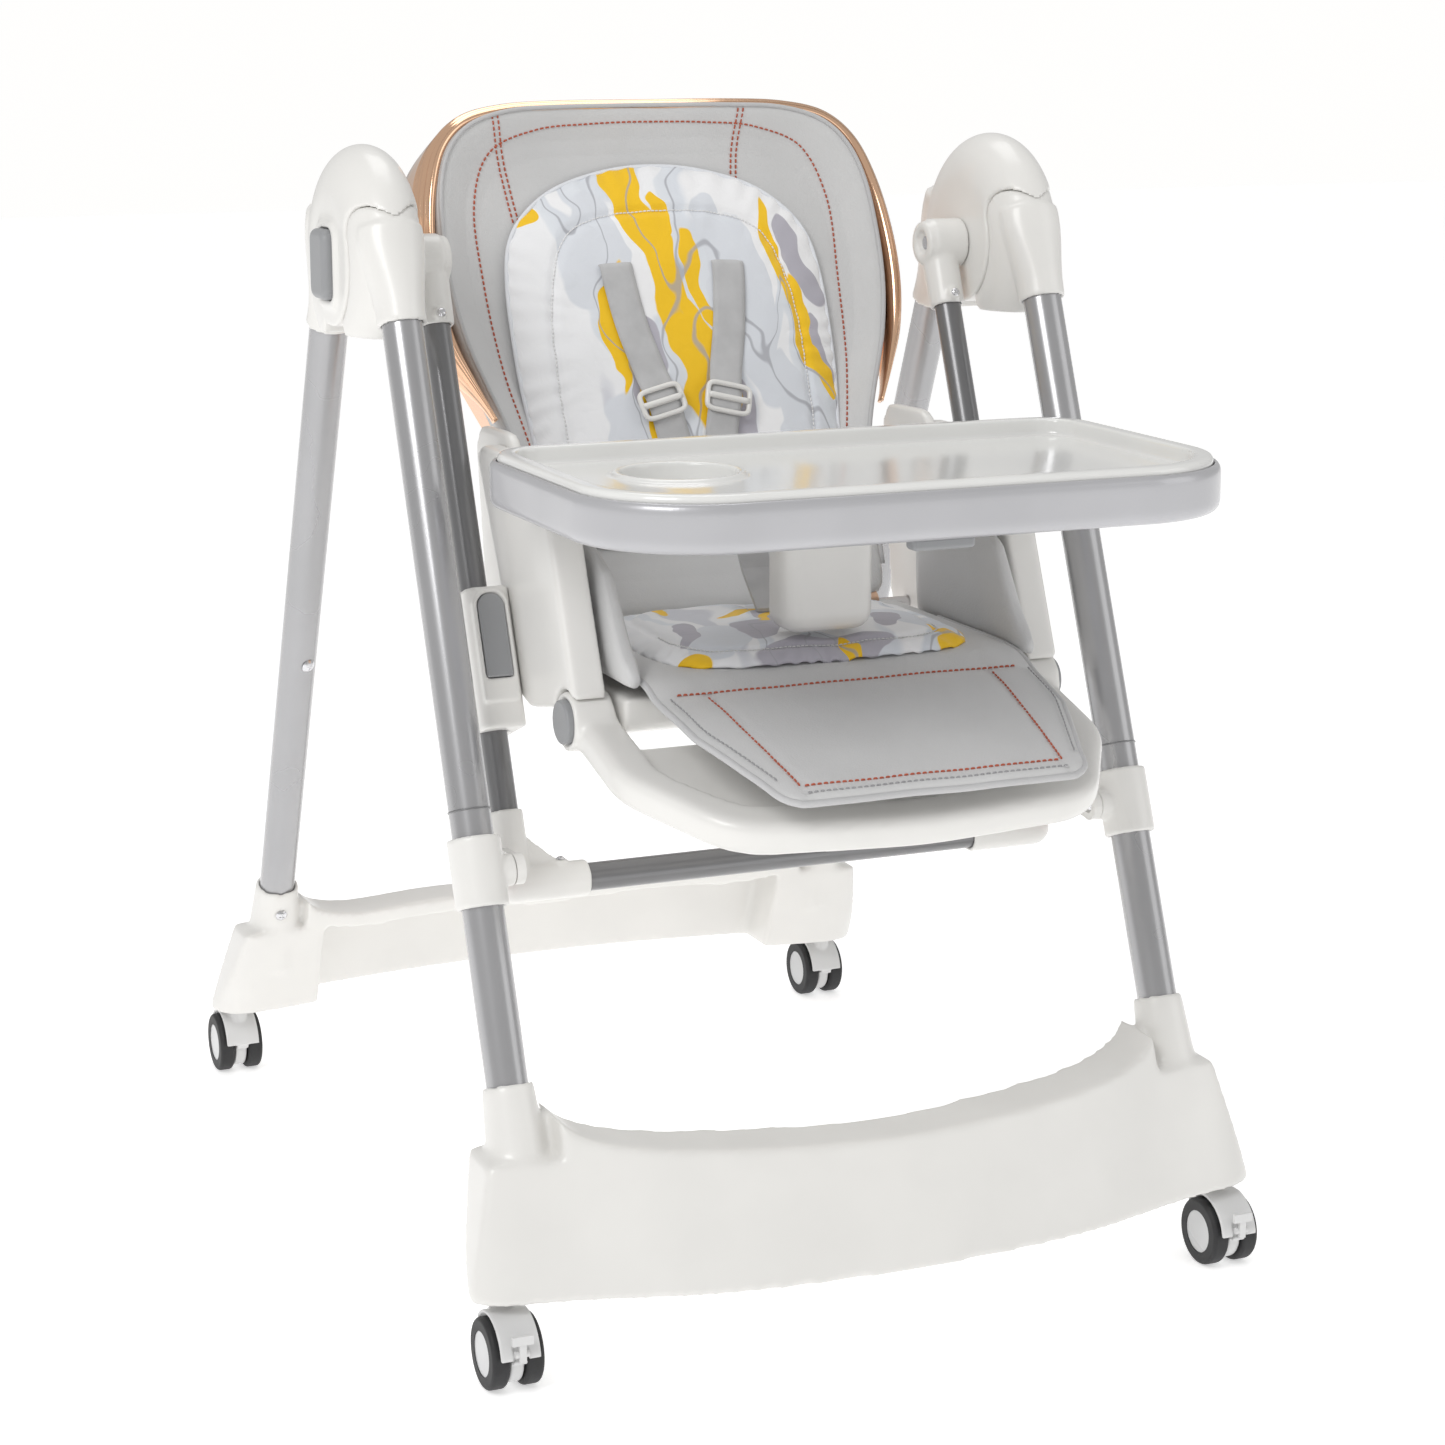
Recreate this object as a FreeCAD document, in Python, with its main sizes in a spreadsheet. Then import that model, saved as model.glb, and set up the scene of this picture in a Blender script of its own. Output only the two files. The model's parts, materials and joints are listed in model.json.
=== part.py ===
import FreeCAD, Part
import os
import math
from FreeCAD import Vector, Rotation, Placement

# Baby high chair with swing hubs, height slides, reclining back, leg rest,
# sliding tray and four twin-wheel casters.  Millimetres, +Z up, the chair
# faces -Y, X = 0 is the plane of symmetry.  The ground is Z = 0 and the
# origin is the centre of the chair's footprint box.

doc = FreeCAD.newDocument("high_chair")
sheet = doc.addObject("Spreadsheet::Sheet", "sizes")
CELLS = [
    ("origin_shift", -65.9),    # moves the layout so that the box is centred in Y
    ("leg_x", 262), ("leg_dia", 30), ("tube_wall", 1.6),
    ("pivot_y", 86.4), ("pivot_z", 746),
    ("front_slope", 0.4), ("front_ref_z", 709.8),
    ("rear_slope", 0.4136), ("rear_ref_y", 190.3), ("rear_ref_z", 682.1),
    ("swing_x", 214), ("swing_dia", 21),
    ("hub_outer", 86), ("hub_half", 28.5), ("hub_core", 47.4),
    ("sleeve_dia", 38.5), ("stub_dia", 23),
    ("bracket_dia", 27), ("crossbar_z", 305),
    ("caster_x", 286), ("front_caster_y", -264.9), ("rear_caster_y", 468.2),
    ("wheel_dia", 51), ("wheel_width", 13), ("wheel_gap", 12), ("axle_dia", 6),
    ("caster_trail", 13), ("stem_dia", 9),
    ("beam_bottom", 62), ("beam_half", 312), ("beam_depth", 46),
    ("pin_dia", 10), ("button_travel", 5),
    ("tray_half", 240), ("tray_back", -87), ("tray_front", -372),
    ("tray_top_z", 628), ("tray_bottom_z", 589),
    ("seat_z", 458), ("recline_y", 28), ("recline_z", 470),
    ("legrest_y", -146), ("legrest_z", 437), ("legrest_fall", 15.5),
]
for row, (alias, value) in enumerate(CELLS, 1):
    sheet.set("A%d" % row, alias)
    sheet.set("B%d" % row, str(value))
    sheet.setAlias("B%d" % row, alias)
doc.recompute()
G = {a: float(sheet.get(a)) for a, _ in CELLS}

OY = G["origin_shift"]
SHIFT = Placement(Vector(0, OY, 0), Rotation())
LX, LR = G["leg_x"], G["leg_dia"] / 2
PY, PZ = G["pivot_y"], G["pivot_z"]
P = Vector(0, PY, PZ)
XA, YA, ZA = Vector(1, 0, 0), Vector(0, 1, 0), Vector(0, 0, 1)


def V(x, y, z):
    return Vector(x, y, z)


def unit(y, z):
    v = Vector(0, y, z)
    v.normalize()
    return v


DF = unit(-G["front_slope"], -1)          # down the front leg
DR = unit(G["rear_slope"], -1)            # down the rear leg
NF = Vector(0, DF.z, -DF.y)               # across the front leg, towards the front
NR = Vector(0, -DR.z, DR.y)               # across the rear leg, towards the rear


def front_at(z, x=0.0):
    return V(x, -G["front_slope"] * (G["front_ref_z"] - z), z)


def rear_at(z, x=0.0):
    return V(x, G["rear_ref_y"] + G["rear_slope"] * (G["rear_ref_z"] - z), z)


def swing_at(z, x=0.0):
    return V(x, PY - G["front_slope"] * (PZ - z), z)


PARTS = {}


def put(name, shapes):
    """A named sub-part whose shape is worked out from the sheet's sizes."""
    if not isinstance(shapes, (list, tuple)):
        shapes = [shapes]
    solids = []
    for s in shapes:
        solids += s.Solids
    shape = solids[0] if len(solids) == 1 else Part.makeCompound(solids)
    o = doc.addObject("Part::Feature", name)
    o.Shape = shape
    o.Placement = SHIFT
    o.Label = name
    PARTS[name] = o
    return o


def cyl(a, b, r):
    d = b - a
    return Part.makeCylinder(r, d.Length, a, d)


def pipe(a, b, ro, ri):
    d = b - a
    return cyl(a, b, ro).cut(cyl(a - d * 0.01, b + d * 0.01, ri))


def cone(a, b, r1, r2):
    d = b - a
    return Part.makeCone(r1, r2, d.Length, a, d)


def mirror(s):
    return s.mirror(V(0, 0, 0), XA)


def face(pts):
    return Part.Face(Part.makePolygon(pts + [pts[0]]))


def rounded(points, radii):
    """Closed wire through points in one plane with rounded corners."""
    n = len(points)
    edges = []
    tangents = []
    for i in range(n):
        p, a, b = points[i], points[i - 1], points[(i + 1) % n]
        r = radii[i] if isinstance(radii, (list, tuple)) else radii
        u = a - p
        w = b - p
        u.normalize()
        w.normalize()
        ang = math.acos(max(-1, min(1, u.dot(w))))
        if r <= 0 or abs(ang - math.pi) < 1e-4:
            tangents.append((p, None, p))
            continue
        t = r / math.tan(ang / 2)
        bis = u + w
        bis.normalize()
        c = p + bis * (r / math.sin(ang / 2))
        mid = c - bis * r
        tangents.append((p + u * t, mid, p + w * t))
    for i in range(n):
        a, m, b = tangents[i]
        if m is not None:
            edges.append(Part.Arc(a, m, b).toShape())
        nxt = tangents[(i + 1) % n][0]
        if (nxt - b).Length > 1e-4:
            edges.append(Part.LineSegment(b, nxt).toShape())
    return Part.Wire(edges)


def slab(points, radii, vec):
    return Part.Face(rounded(points, radii)).extrude(vec)


def soften(shape, r, pick=None):
    """Round the chosen edges; falls back to a smaller radius if one fails."""
    edges = [e for e in shape.Edges if pick is None or pick(e)]
    for k in (1.0, 0.7, 0.45, 0.25):
        try:
            out = shape.makeFillet(r * k, edges)
            if out.isValid() and out.Solids and out.Volume > 0.5 * shape.Volume:
                return out
        except Exception:
            pass
    return shape


def moved(s, v):
    c = s.copy()
    c.translate(v)
    return c


# ------------------------------------------------------------------ legs
def leg(a, b, name):
    """Steel tube made as a sketch ring padded along its own axis."""
    body = doc.addObject("PartDesign::Body", name)
    plane = [f for f in body.Origin.OriginFeatures if f.Role == "XY_Plane"][0]
    sk = body.newObject("Sketcher::SketchObject", name + "_ring")
    sk.AttachmentSupport = [(plane, "")]
    sk.MapMode = "FlatFace"
    return body, sk


def tube_body(name, dia_alias, a, b):
    import Sketcher
    body, sk = leg(a, b, name)
    dia = G[dia_alias]
    sk.addGeometry(Part.Circle(Vector(0, 0, 0), ZA, dia / 2))
    sk.addGeometry(Part.Circle(Vector(0, 0, 0), ZA, dia / 2 - G["tube_wall"]))
    sk.addConstraint(Sketcher.Constraint("Coincident", 0, 3, -1, 1))
    sk.addConstraint(Sketcher.Constraint("Coincident", 1, 3, -1, 1))
    c1 = sk.addConstraint(Sketcher.Constraint("Diameter", 0, dia))
    c2 = sk.addConstraint(Sketcher.Constraint("Diameter", 1, dia - 2 * G["tube_wall"]))
    sk.setExpression("Constraints[%d]" % c1, "sizes.%s" % dia_alias)
    sk.setExpression("Constraints[%d]" % c2, "sizes.%s - 2 * sizes.tube_wall" % dia_alias)
    pad = body.newObject("PartDesign::Pad", name + "_pad")
    pad.Profile = sk
    pad.Length = (b - a).Length
    body.Tip = pad
    body.Placement = Placement(a + Vector(0, OY, 0), Rotation(ZA, b - a))
    body.Label = name
    PARTS[name] = body
    return body


def pair(name, body):
    """The body and its mirror image across X = 0, as one group of two tubes."""
    del PARTS[body.Label]
    body.Label = name + "_one"
    m = doc.addObject("Part::Mirroring", name + "_other")
    m.Source = body
    m.Normal = XA
    m.Base = Vector(0, 0, 0)
    g = doc.addObject("Part::Compound", name)
    g.Links = [body, m]
    g.Label = name
    PARTS[name] = g


pair("front_legs", tube_body("front_leg", "leg_dia", front_at(764, LX), front_at(78, LX)))
pair("rear_legs", tube_body("rear_leg", "leg_dia", rear_at(764, LX), rear_at(78, LX)))
pair("swing_tubes", tube_body("swing_tube", "swing_dia", swing_at(728, G["swing_x"]), swing_at(322, G["swing_x"])))
CBY = swing_at(G["crossbar_z"]).y
CBZ = G["crossbar_z"]
tube_body("crossbar", "swing_dia", V(-197, CBY, CBZ), V(197, CBY, CBZ))


# ------------------------------------------------------------------ floor beams
def beam(sign, y0, slope, bow, collar_z, top_mid, legfn):
    """Moulded cross beam: a collar round each leg, a concave sweep down to a
    broad band that bows away from the chair.  sign -1 is the front beam."""
    zb, hw, dep = G["beam_bottom"], G["beam_half"], G["beam_depth"]

    def outline(inset):
        # seen from the front: collars, concave sweep, flared bottom corners
        half = [V(hw - inset, 0, zb), V(hw - 2 - inset, 0, zb + 9), V(300 - inset, 0, 112),
                V(290 - inset, 0, 152), V(281 - inset, 0, collar_z - inset)]
        sweep = [V(243.0 + inset, 0, collar_z - inset), V(240.5 + inset, 0, collar_z - 12 - inset),
                 V(231 + inset * .5, 0, collar_z - 24 - inset), V(212, 0, collar_z - 33 - inset),
                 V(180, 0, collar_z - 38.5 - inset), V(120, 0, top_mid + 4.5 - inset),
                 V(0, 0, top_mid - inset), V(-120, 0, top_mid + 4.5 - inset),
                 V(-180, 0, collar_z - 38.5 - inset), V(-212, 0, collar_z - 33 - inset),
                 V(-231 - inset * .5, 0, collar_z - 24 - inset),
                 V(-240.5 - inset, 0, collar_z - 12 - inset), V(-243.0 - inset, 0, collar_z - inset)]
        c = Part.BSplineCurve()
        c.interpolate(sweep)
        o = Part.BSplineCurve()
        o.interpolate(half)
        half2 = [V(-p.x, p.y, p.z) for p in half]
        o2 = Part.BSplineCurve()
        o2.interpolate(half2)
        edges = [o.toShape(), Part.LineSegment(half[-1], sweep[0]).toShape(), c.toShape(),
                 Part.LineSegment(sweep[-1], half2[-1]).toShape(), o2.toShape(),
                 Part.LineSegment(half2[0], half[0]).toShape()]
        w = Part.Wire(Part.__sortEdges__(edges))
        f = Part.Face(w)
        f.translate(V(0, -700, 0))
        return f.extrude(V(0, 1400, 0))

    def plan(inset):
        yl = legfn(zb).y
        f = [V(hw - inset, yl + sign * 6, zb), V(300 - inset, yl + sign * (dep / 2 - 6 - inset), zb),
             V(262, yl + sign * (dep / 2 - inset + 4), zb), V(170, yl + sign * (dep / 2 + bow * .62 - inset), zb),
             V(70, yl + sign * (dep / 2 + bow * .95 - inset), zb), V(0, yl + sign * (dep / 2 + bow - inset), zb)]
        f = f + [V(-p.x, p.y, p.z) for p in reversed(f[:-1])]
        b = [V(hw - 4 - inset, yl - sign * 8, zb), V(300 - inset, yl - sign * (dep / 2 - 4 - inset), zb),
             V(262, yl - sign * (dep / 2 - inset), zb), V(170, yl - sign * (dep / 2 - bow * .55 - inset), zb),
             V(70, yl - sign * (dep / 2 - bow * .9 - inset), zb), V(0, yl - sign * (dep / 2 - bow - inset), zb)]
        b = b + [V(-p.x, p.y, p.z) for p in reversed(b[:-1])]
        cf = Part.BSplineCurve()
        cf.interpolate(f)
        cb = Part.BSplineCurve()
        cb.interpolate(b)
        w = Part.Wire(Part.__sortEdges__([cf.toShape(), Part.LineSegment(f[-1], b[-1]).toShape(),
                                          cb.toShape(), Part.LineSegment(b[0], f[0]).toShape()]))
        fc = Part.Face(w)
        lean = legfn(zb + 200).y - legfn(zb).y
        fc.translate(V(0, -lean * .1, -20))
        return fc.extrude(V(0, lean * 1.1, 220))

    outer = outline(0).common(plan(0))
    zc = collar_z - 44
    for sx in (-1, 1):
        # round collar, wider towards the floor, in place of the square shoulder
        outer = outer.cut(Part.makeBox(90, 1400, 200, V(sx * 282 - 45, -700, zc)))
        outer = outer.fuse(cone(legfn(zc - 34, sx * LX), legfn(collar_z, sx * LX), 23.4, 18.5))
    hollow = outline(4.5).common(plan(4.5)).common(Part.makeBox(436, 1400, 300, V(-218, -700, zb - 1)))
    low = moved(outline(4.5).common(plan(4.5)), V(0, 0, -12)).common(Part.makeBox(436, 1400, 300, V(-218, -700, zb - 20)))
    s = outer.cut(hollow).cut(low)
    for sx in (-1, 1):
        s = s.cut(cyl(legfn(collar_z + 30, sx * LX), legfn(77.9, sx * LX), LR + 0.05))
    return s


def caster_bores(s, yc):
    for sx in (-1, 1):
        s = s.cut(cyl(V(sx * G["caster_x"], yc, 50), V(sx * G["caster_x"], yc, 92), G["stem_dia"] / 2 + 0.06))
    return s


fbeam = beam(-1, 0, 0.4, 48, 196, 149, front_at)
FST = G["front_caster_y"] + 11          # swivel stems of the front casters
RST = G["rear_caster_y"] - 14          # swivel stems of the rear casters
put("front_beam", caster_bores(fbeam, FST))
rbeam = beam(1, 0, 0.4136, 34, 188, 146, rear_at)
rbeam = caster_bores(rbeam, RST)


# ------------------------------------------------------------------ hubs
def puck(ro, half, rflat):
    """Domed disc about the X axis through the pivot, centred on the leg plane."""
    ax = ro - rflat
    pts = []
    n = 10
    for i in range(n + 1):
        t = math.pi / 2 * i / n
        pts.append(Vector(LX - half * math.cos(t), PY, PZ + rflat + ax * math.sin(t)))
    for i in range(1, n + 1):
        t = math.pi / 2 * (1 - i / n)
        pts.append(Vector(LX + half * math.cos(t), PY, PZ + rflat + ax * math.sin(t)))
    c = Part.BSplineCurve()
    c.interpolate(pts)
    w = Part.Wire([Part.LineSegment(Vector(LX - half, PY, PZ), pts[0]).toShape(), c.toShape(),
                   Part.LineSegment(pts[-1], Vector(LX + half, PY, PZ)).toShape(),
                   Part.LineSegment(Vector(LX + half, PY, PZ), Vector(LX - half, PY, PZ)).toShape()])
    return Part.Face(w).revolve(Vector(0, PY, PZ), XA, 360)


def ellipse_wire(centre, along, rx, rs):
    side = Vector(0, -along.z, along.y)
    if rx >= rs:
        e = Part.Ellipse(centre + XA * rx, centre + side * rs, centre)
    else:
        e = Part.Ellipse(centre + side * rs, centre + XA * rx, centre)
    return Part.Wire([e.toShape()])


HR, HH, CORE = G["hub_outer"], G["hub_half"], G["hub_core"]
dist_f = abs((front_at(PZ) - P).dot(NF))
dist_r = abs((rear_at(PZ) - P).dot(NR))
F0 = V(LX, PY, PZ) + NF * dist_f
if abs((F0 - front_at(F0.z, LX)).Length) > 0.5:
    NF = NF * -1
    F0 = V(LX, PY, PZ) + NF * dist_f
R0 = V(LX, PY, PZ) + NR * dist_r
if abs((R0 - rear_at(R0.z, LX)).Length) > 0.5:
    NR = NR * -1
    R0 = V(LX, PY, PZ) + NR * dist_r
SR = dist_f - CORE - 0.15                     # half width of the front arch


def prism(wire_or_face, x0, x1):
    f = wire_or_face if isinstance(wire_or_face, Part.Face) else Part.Face(wire_or_face)
    f = f.copy()
    f.translate(V(x0, 0, 0))
    return f.extrude(V(x1 - x0, 0, 0))


def sector(r0, r1, a0, a1, x0, x1):
    """Ring sector about the pivot; angles run from +Y towards +Z, in degrees."""
    def q(r, a):
        a = math.radians(a)
        return V(0, PY + r * math.cos(a), PZ + r * math.sin(a))
    m = (a0 + a1) / 2
    w = Part.Wire([Part.Arc(q(r1, a0), q(r1, m), q(r1, a1)).toShape(),
                   Part.LineSegment(q(r1, a1), q(r0, a1)).toShape(),
                   Part.Arc(q(r0, a1), q(r0, m), q(r0, a0)).toShape(),
                   Part.LineSegment(q(r0, a0), q(r1, a0)).toShape()])
    return prism(w, x0, x1)


ang_f = math.degrees(math.atan2(F0.z - PZ, F0.y - PY))
X0, X1 = LX - 45, LX + 45
full = puck(HR, HH, 48)
# rear sleeve of the hub, round the rear leg
rs_end = R0 + DR * ((R0.z - 690) / -DR.z)
rear_sleeve = Part.makeLoft([ellipse_wire(R0 - DR * 8, DR, 25.5, 19.6), ellipse_wire(R0 + DR * 20, DR, 24.5, 19.6),
                             ellipse_wire(R0 + DR * 48, DR, 20.0, 19.0),
                             ellipse_wire(rs_end, DR, 18.4, 18.3)], True)
dome = full.cut(sector(CORE, 130, ang_f, 288, X0, X1))
dome = dome.cut(cyl(V(X0, F0.y, F0.z), V(X1, F0.y, F0.z), SR + 0.35))
# flat underside between the sockets
dome = dome.cut(Part.makeBox(120, 200, 60, V(LX - 60, PY - 100, PZ - 54 - 60)))
dome = dome.fuse(rear_sleeve)
# raised oblong bezel round the fold button on the outer face
BZ = slab([V(LX, PY - 23, PZ - 33), V(LX, PY + 23, PZ - 33), V(LX, PY + 23, PZ + 30), V(LX, PY - 23, PZ + 30)], 11, V(HH + 3, 0, 0))
dome = dome.fuse(BZ)
POCKET = slab([V(LX + 13, PY - 18.2, PZ - 27.2), V(LX + 13, PY + 18.2, PZ - 27.2), V(LX + 13, PY + 18.2, PZ + 25.2), V(LX + 13, PY - 18.2, PZ + 25.2)], 9.2, V(60, 0, 0))
dome = dome.cut(POCKET)
dome = dome.cut(cyl(V(LX - 4.6, PY, PZ), V(LX + 4.6, PY, PZ), CORE + 0.4))       # slot for the hinge disc
dome = dome.cut(cyl(rear_at(765, LX), rear_at(600, LX), LR + 0.05))
dome = dome.cut(cyl(V(LX - 50, PY, PZ), V(LX + 12, PY, PZ), G["pin_dia"] / 2 + 0.03))
dome = dome.removeSplitter()
put("hub_housings", [dome, mirror(dome)])

# front socket: arch-topped shell flush with the dome, hinge disc inside the hub
inner = puck(HR - 1.2, HH - 1.2, 48)
fs_end = F0 + DF * ((F0.z - 706) / -DF.z)
arch = cyl(V(X0, F0.y, F0.z), V(X1, F0.y, F0.z), SR)
strip = face([F0 + NF * SR - XA * LX, F0 - NF * SR - XA * LX,
              F0 - NF * SR + DF * 46 - XA * LX, F0 + NF * SR + DF * 46 - XA * LX])
body_s = inner.common(arch.fuse(prism(strip, X0, X1)))
web = inner.common(sector(CORE + 0.15, 83, ang_f + 8, ang_f + 82, X0, X1))
web = web.cut(Part.makeBox(120, 200, 60, V(LX - 60, PY - 140, PZ - 52 - 60)))
sleeve = Part.makeLoft([ellipse_wire(F0 - DF * 4, DF, 24.2, SR), ellipse_wire(F0 + DF * 18, DF, 24.0, SR),
                        ellipse_wire(F0 + DF * 46, DF, 19.6, SR - .3), ellipse_wire(fs_end, DF, 18.3, 18.2)], True)
sock = body_s.fuse(sleeve).fuse(web)
disc = cyl(V(LX - 4, PY, PZ), V(LX + 4, PY, PZ), 36)
link = sector(20, CORE + 4, ang_f - 2, ang_f + 60, LX - 4, LX + 4)
sock = sock.fuse(disc).fuse(link)
sock = sock.cut(cyl(front_at(765, LX), front_at(600, LX), LR + 0.05))
sock = sock.cut(cyl(V(X0, PY, PZ), V(X1, PY, PZ), G["pin_dia"] / 2 + 0.03))
# nothing of the front socket may come nearer the pivot than the core, bar the disc
guard = cyl(V(LX - 60, PY, PZ), V(LX - 4.05, PY, PZ), CORE + 0.05).fuse(cyl(V(LX + 4.05, PY, PZ), V(LX + 60, PY, PZ), CORE + 0.05))
sock = sock.cut(guard).removeSplitter()
put("front_sockets", [sock, mirror(sock)])

# fold buttons
btn = slab([V(LX + 19, PY - 17.8, PZ - 26.8), V(LX + 19, PY + 17.8, PZ - 26.8), V(LX + 19, PY + 17.8, PZ + 24.8), V(LX + 19, PY - 17.8, PZ + 24.8)], 8.8, V(19.5, 0, 0))
btn = soften(btn, 5, lambda e: e.BoundBox.XMin > LX + 38.4)
put("fold_button_right", btn)
put("fold_button_left", mirror(btn))

# hinge pins through hub, hinge disc and swing tee
pin = cyl(V(203, PY, PZ), V(LX + 11, PY, PZ), G["pin_dia"] / 2)
put("hub_hinge_pins", [pin, mirror(pin)])


def dome_screw(at, out, head=5.2, height=2.6, shank=2.2, depth=8):
    d = Vector(out)
    d.normalize()
    h = Part.makeSphere(head * 1.15, V(0, 0, 0), ZA, -90, 90, 360)
    h = h.common(Part.makeCylinder(head, height, V(0, 0, head * 1.15 - height), ZA))
    h.translate(V(0, 0, -(head * 1.15 - height)))
    s = h.fuse(Part.makeCylinder(shank, depth + .5, V(0, 0, -depth), ZA))
    # cross recess
    for a in (0, 90):
        b = Part.makeBox(1.0, head * 1.1, 1.2, V(-.5, -head * .55, height - .8))
        b.rotate(V(0, 0, 0), ZA, a)
        s = s.cut(b)
    s.Placement = Placement(at, Rotation(ZA, d))
    return s


# ------------------------------------------------------------------ leg sleeves with stubs
SZ = 334.6
c = front_at(SZ, LX)
sl = soften(cyl(c - DF * 25.2, c + DF * 25.2, G["sleeve_dia"] / 2), 1.5)
sl = sl.fuse(cyl(V(LX, c.y, SZ), V(236.5, c.y, SZ), G["stub_dia"] / 2))
sl = sl.cut(cyl(c - DF * 40, c + DF * 40, LR + 0.05))
sl = sl.cut(cyl(V(228, c.y, SZ), V(248, c.y, SZ), 3.05))
put("leg_sleeves", [sl, mirror(sl)])
# lock levers that swing on the stubs and reach back beside the corner brackets
SC = front_at(SZ, LX)
bx = 229.4
lev = cyl(V(bx, SC.y, SZ), V(236.1, SC.y, SZ), 11)
arm = prism(rounded([V(0, SC.y - 6, SZ + 9.5), V(0, SC.y + 30, SZ + 8), V(0, SC.y + 58, SZ - 2), V(0, SC.y + 62, SZ - 13),
                     V(0, SC.y + 54, SZ - 16), V(0, SC.y + 47, SZ - 8), V(0, SC.y + 20, SZ - 9), V(0, SC.y - 2, SZ - 10.5)],
                    [3, 8, 8, 2, 2, 3, 4, 3]), bx, 235.6)
lev = lev.fuse(arm)
lev = lev.cut(cyl(V(220, SC.y, SZ), V(250, SC.y, SZ), 3.05))
lev = lev.cut(cyl(V(bx - 1, SC.y, SZ), V(bx + 1.8, SC.y, SZ), 5.6)).removeSplitter()
put("lock_lever_right", lev)
put("lock_lever_left", mirror(lev))
tab = prism(rounded([V(0, SC.y + 18, SZ - 9.1), V(0, SC.y + 44, SZ - 8.1), V(0, SC.y + 40, SZ - 17), V(0, SC.y + 33, SZ - 18.5), V(0, SC.y + 26, SZ - 13)],
                    [0, 0, 2, 2, 2]), bx + .6, 235)
put("lock_tab_right", tab)
put("lock_tab_left", mirror(tab))
sc = dome_screw(V(bx + 0.1, SC.y, SZ), V(-1, 0, 0), 5.0, 2.2, 3.0, 15.8)
sc.translate(V(1.65, 0, 0))

# hinge screw and socket screws of the front frame
fs = dome_screw(F0 + DF * 34 + XA * (-21.5), V(-1, 0, 0), 4.2, 2.0, 2.0, 4)
put("front_frame_screws", [sc, mirror(sc)])


# ------------------------------------------------------------------ swing tees, corner brackets
TX0, TX1 = 199.0, 233.0
tee = cyl(V(TX0, PY, PZ), V(206, PY, PZ), 17.4)
tee = soften(tee, 2.5, lambda e: e.BoundBox.XMax < TX0 + .1)
tee = tee.fuse(cyl(V(205.9, PY, PZ), V(TX1, PY, PZ), 19.2))
tend = swing_at(697, G["swing_x"])
tee = tee.fuse(cone(V(G["swing_x"], PY, PZ), tend, 14.6, 13.8))
boss = swing_at(703, G["swing_x"])
tee = tee.fuse(cyl(boss - NF * 17.2, boss + NF * 17.2, 5.2))
tee = tee.cut(cyl(V(TX0 - 1, PY, PZ), V(TX0 + 3.4, PY, PZ), 9.5))
tee = tee.cut(cyl(V(TX0, PY, PZ), V(TX1 + 1, PY, PZ), G["pin_dia"] / 2 + 0.05))
tee = tee.cut(cyl(swing_at(728.05, G["swing_x"]), swing_at(600, G["swing_x"]), G["swing_dia"] / 2 + 0.05))
tee = tee.removeSplitter()
BR = G["bracket_dia"] / 2
SX = G["swing_x"]
corner = V(SX, CBY, CBZ)
top = swing_at(356, SX)
bk = cyl(top, corner, BR).fuse(Part.makeSphere(BR, corner)).fuse(cyl(corner, V(158, CBY, CBZ), BR))
rib = face([corner + V(-8, 0, 6), V(176, CBY, CBZ + 12), V(SX - 11, swing_at(340).y, 340)])
rib = rib.extrude(V(0, 3, 1.2))
rib.translate(V(0, -1.5, -.6))
bk = bk.fuse(rib)
b1 = swing_at(346, SX)
bk = bk.fuse(cyl(b1 - NF * 16.4, b1, 5.0)).fuse(cyl(V(178, CBY, CBZ), V(178, CBY, CBZ + 16.2), 5.0))
bk = bk.cut(cyl(swing_at(357, SX), swing_at(322, SX), G["swing_dia"] / 2 + 0.05))
bk = bk.cut(cyl(V(150, CBY, CBZ), V(197.05, CBY, CBZ), G["swing_dia"] / 2 + 0.05))
bk = bk.removeSplitter()
ss = [dome_screw(boss + NF * 17.3, NF, 3.6, 1.8, 1.8, 2.6), dome_screw(V(178, CBY, CBZ + 16.3), V(0, 0, 1), 3.6, 1.8, 1.8, 2.6),
      dome_screw(b1 - NF * 16.5, NF * -1, 3.6, 1.8, 1.8, 2.6)]
tee = tee.cut(cyl(boss + NF * 10, boss + NF * 20, 1.85))
bk = bk.cut(cyl(V(178, CBY, CBZ + 12), V(178, CBY, CBZ + 20), 1.85)).cut(cyl(b1 - NF * 12, b1 - NF * 20, 1.85))
put("swing_tees", [tee, mirror(tee)])
put("corner_brackets", [bk, mirror(bk)])
put("swing_frame_screws", ss + [mirror(x) for x in ss])

# ------------------------------------------------------------------ rear frame screws
o1 = (NR * -0.95 - XA * 0.31)
o1.normalize()
rs1 = dome_screw(rear_at(404.5, LX) + o1 * (LR + 0.1), o1, 6.2, 3.0, 2.4, 0.04)
r2 = rear_at(168, LX)
hit = rbeam.common(cyl(r2, r2 - NR * 60, 0.5))
gap = max([(v.Point - r2).dot(NR * -1) for v in hit.Vertexes] + [LR + 3])
rs2 = dome_screw(r2 - NR * (gap + .2), NR * -1, 5.4, 2.6, 2.2, 4)
for sx in (1, -1):
    c = cyl(r2 - NR * (gap - 6), r2 - NR * (gap + 4), 2.25)
    rbeam = rbeam.cut(c if sx > 0 else mirror(c))
put("rear_beam", rbeam)
put("rear_frame_screws", [rs1, rs2, mirror(rs1), mirror(rs2)])

# ------------------------------------------------------------------ casters
WR, WW, WG = G["wheel_dia"] / 2, G["wheel_width"], G["wheel_gap"]


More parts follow.
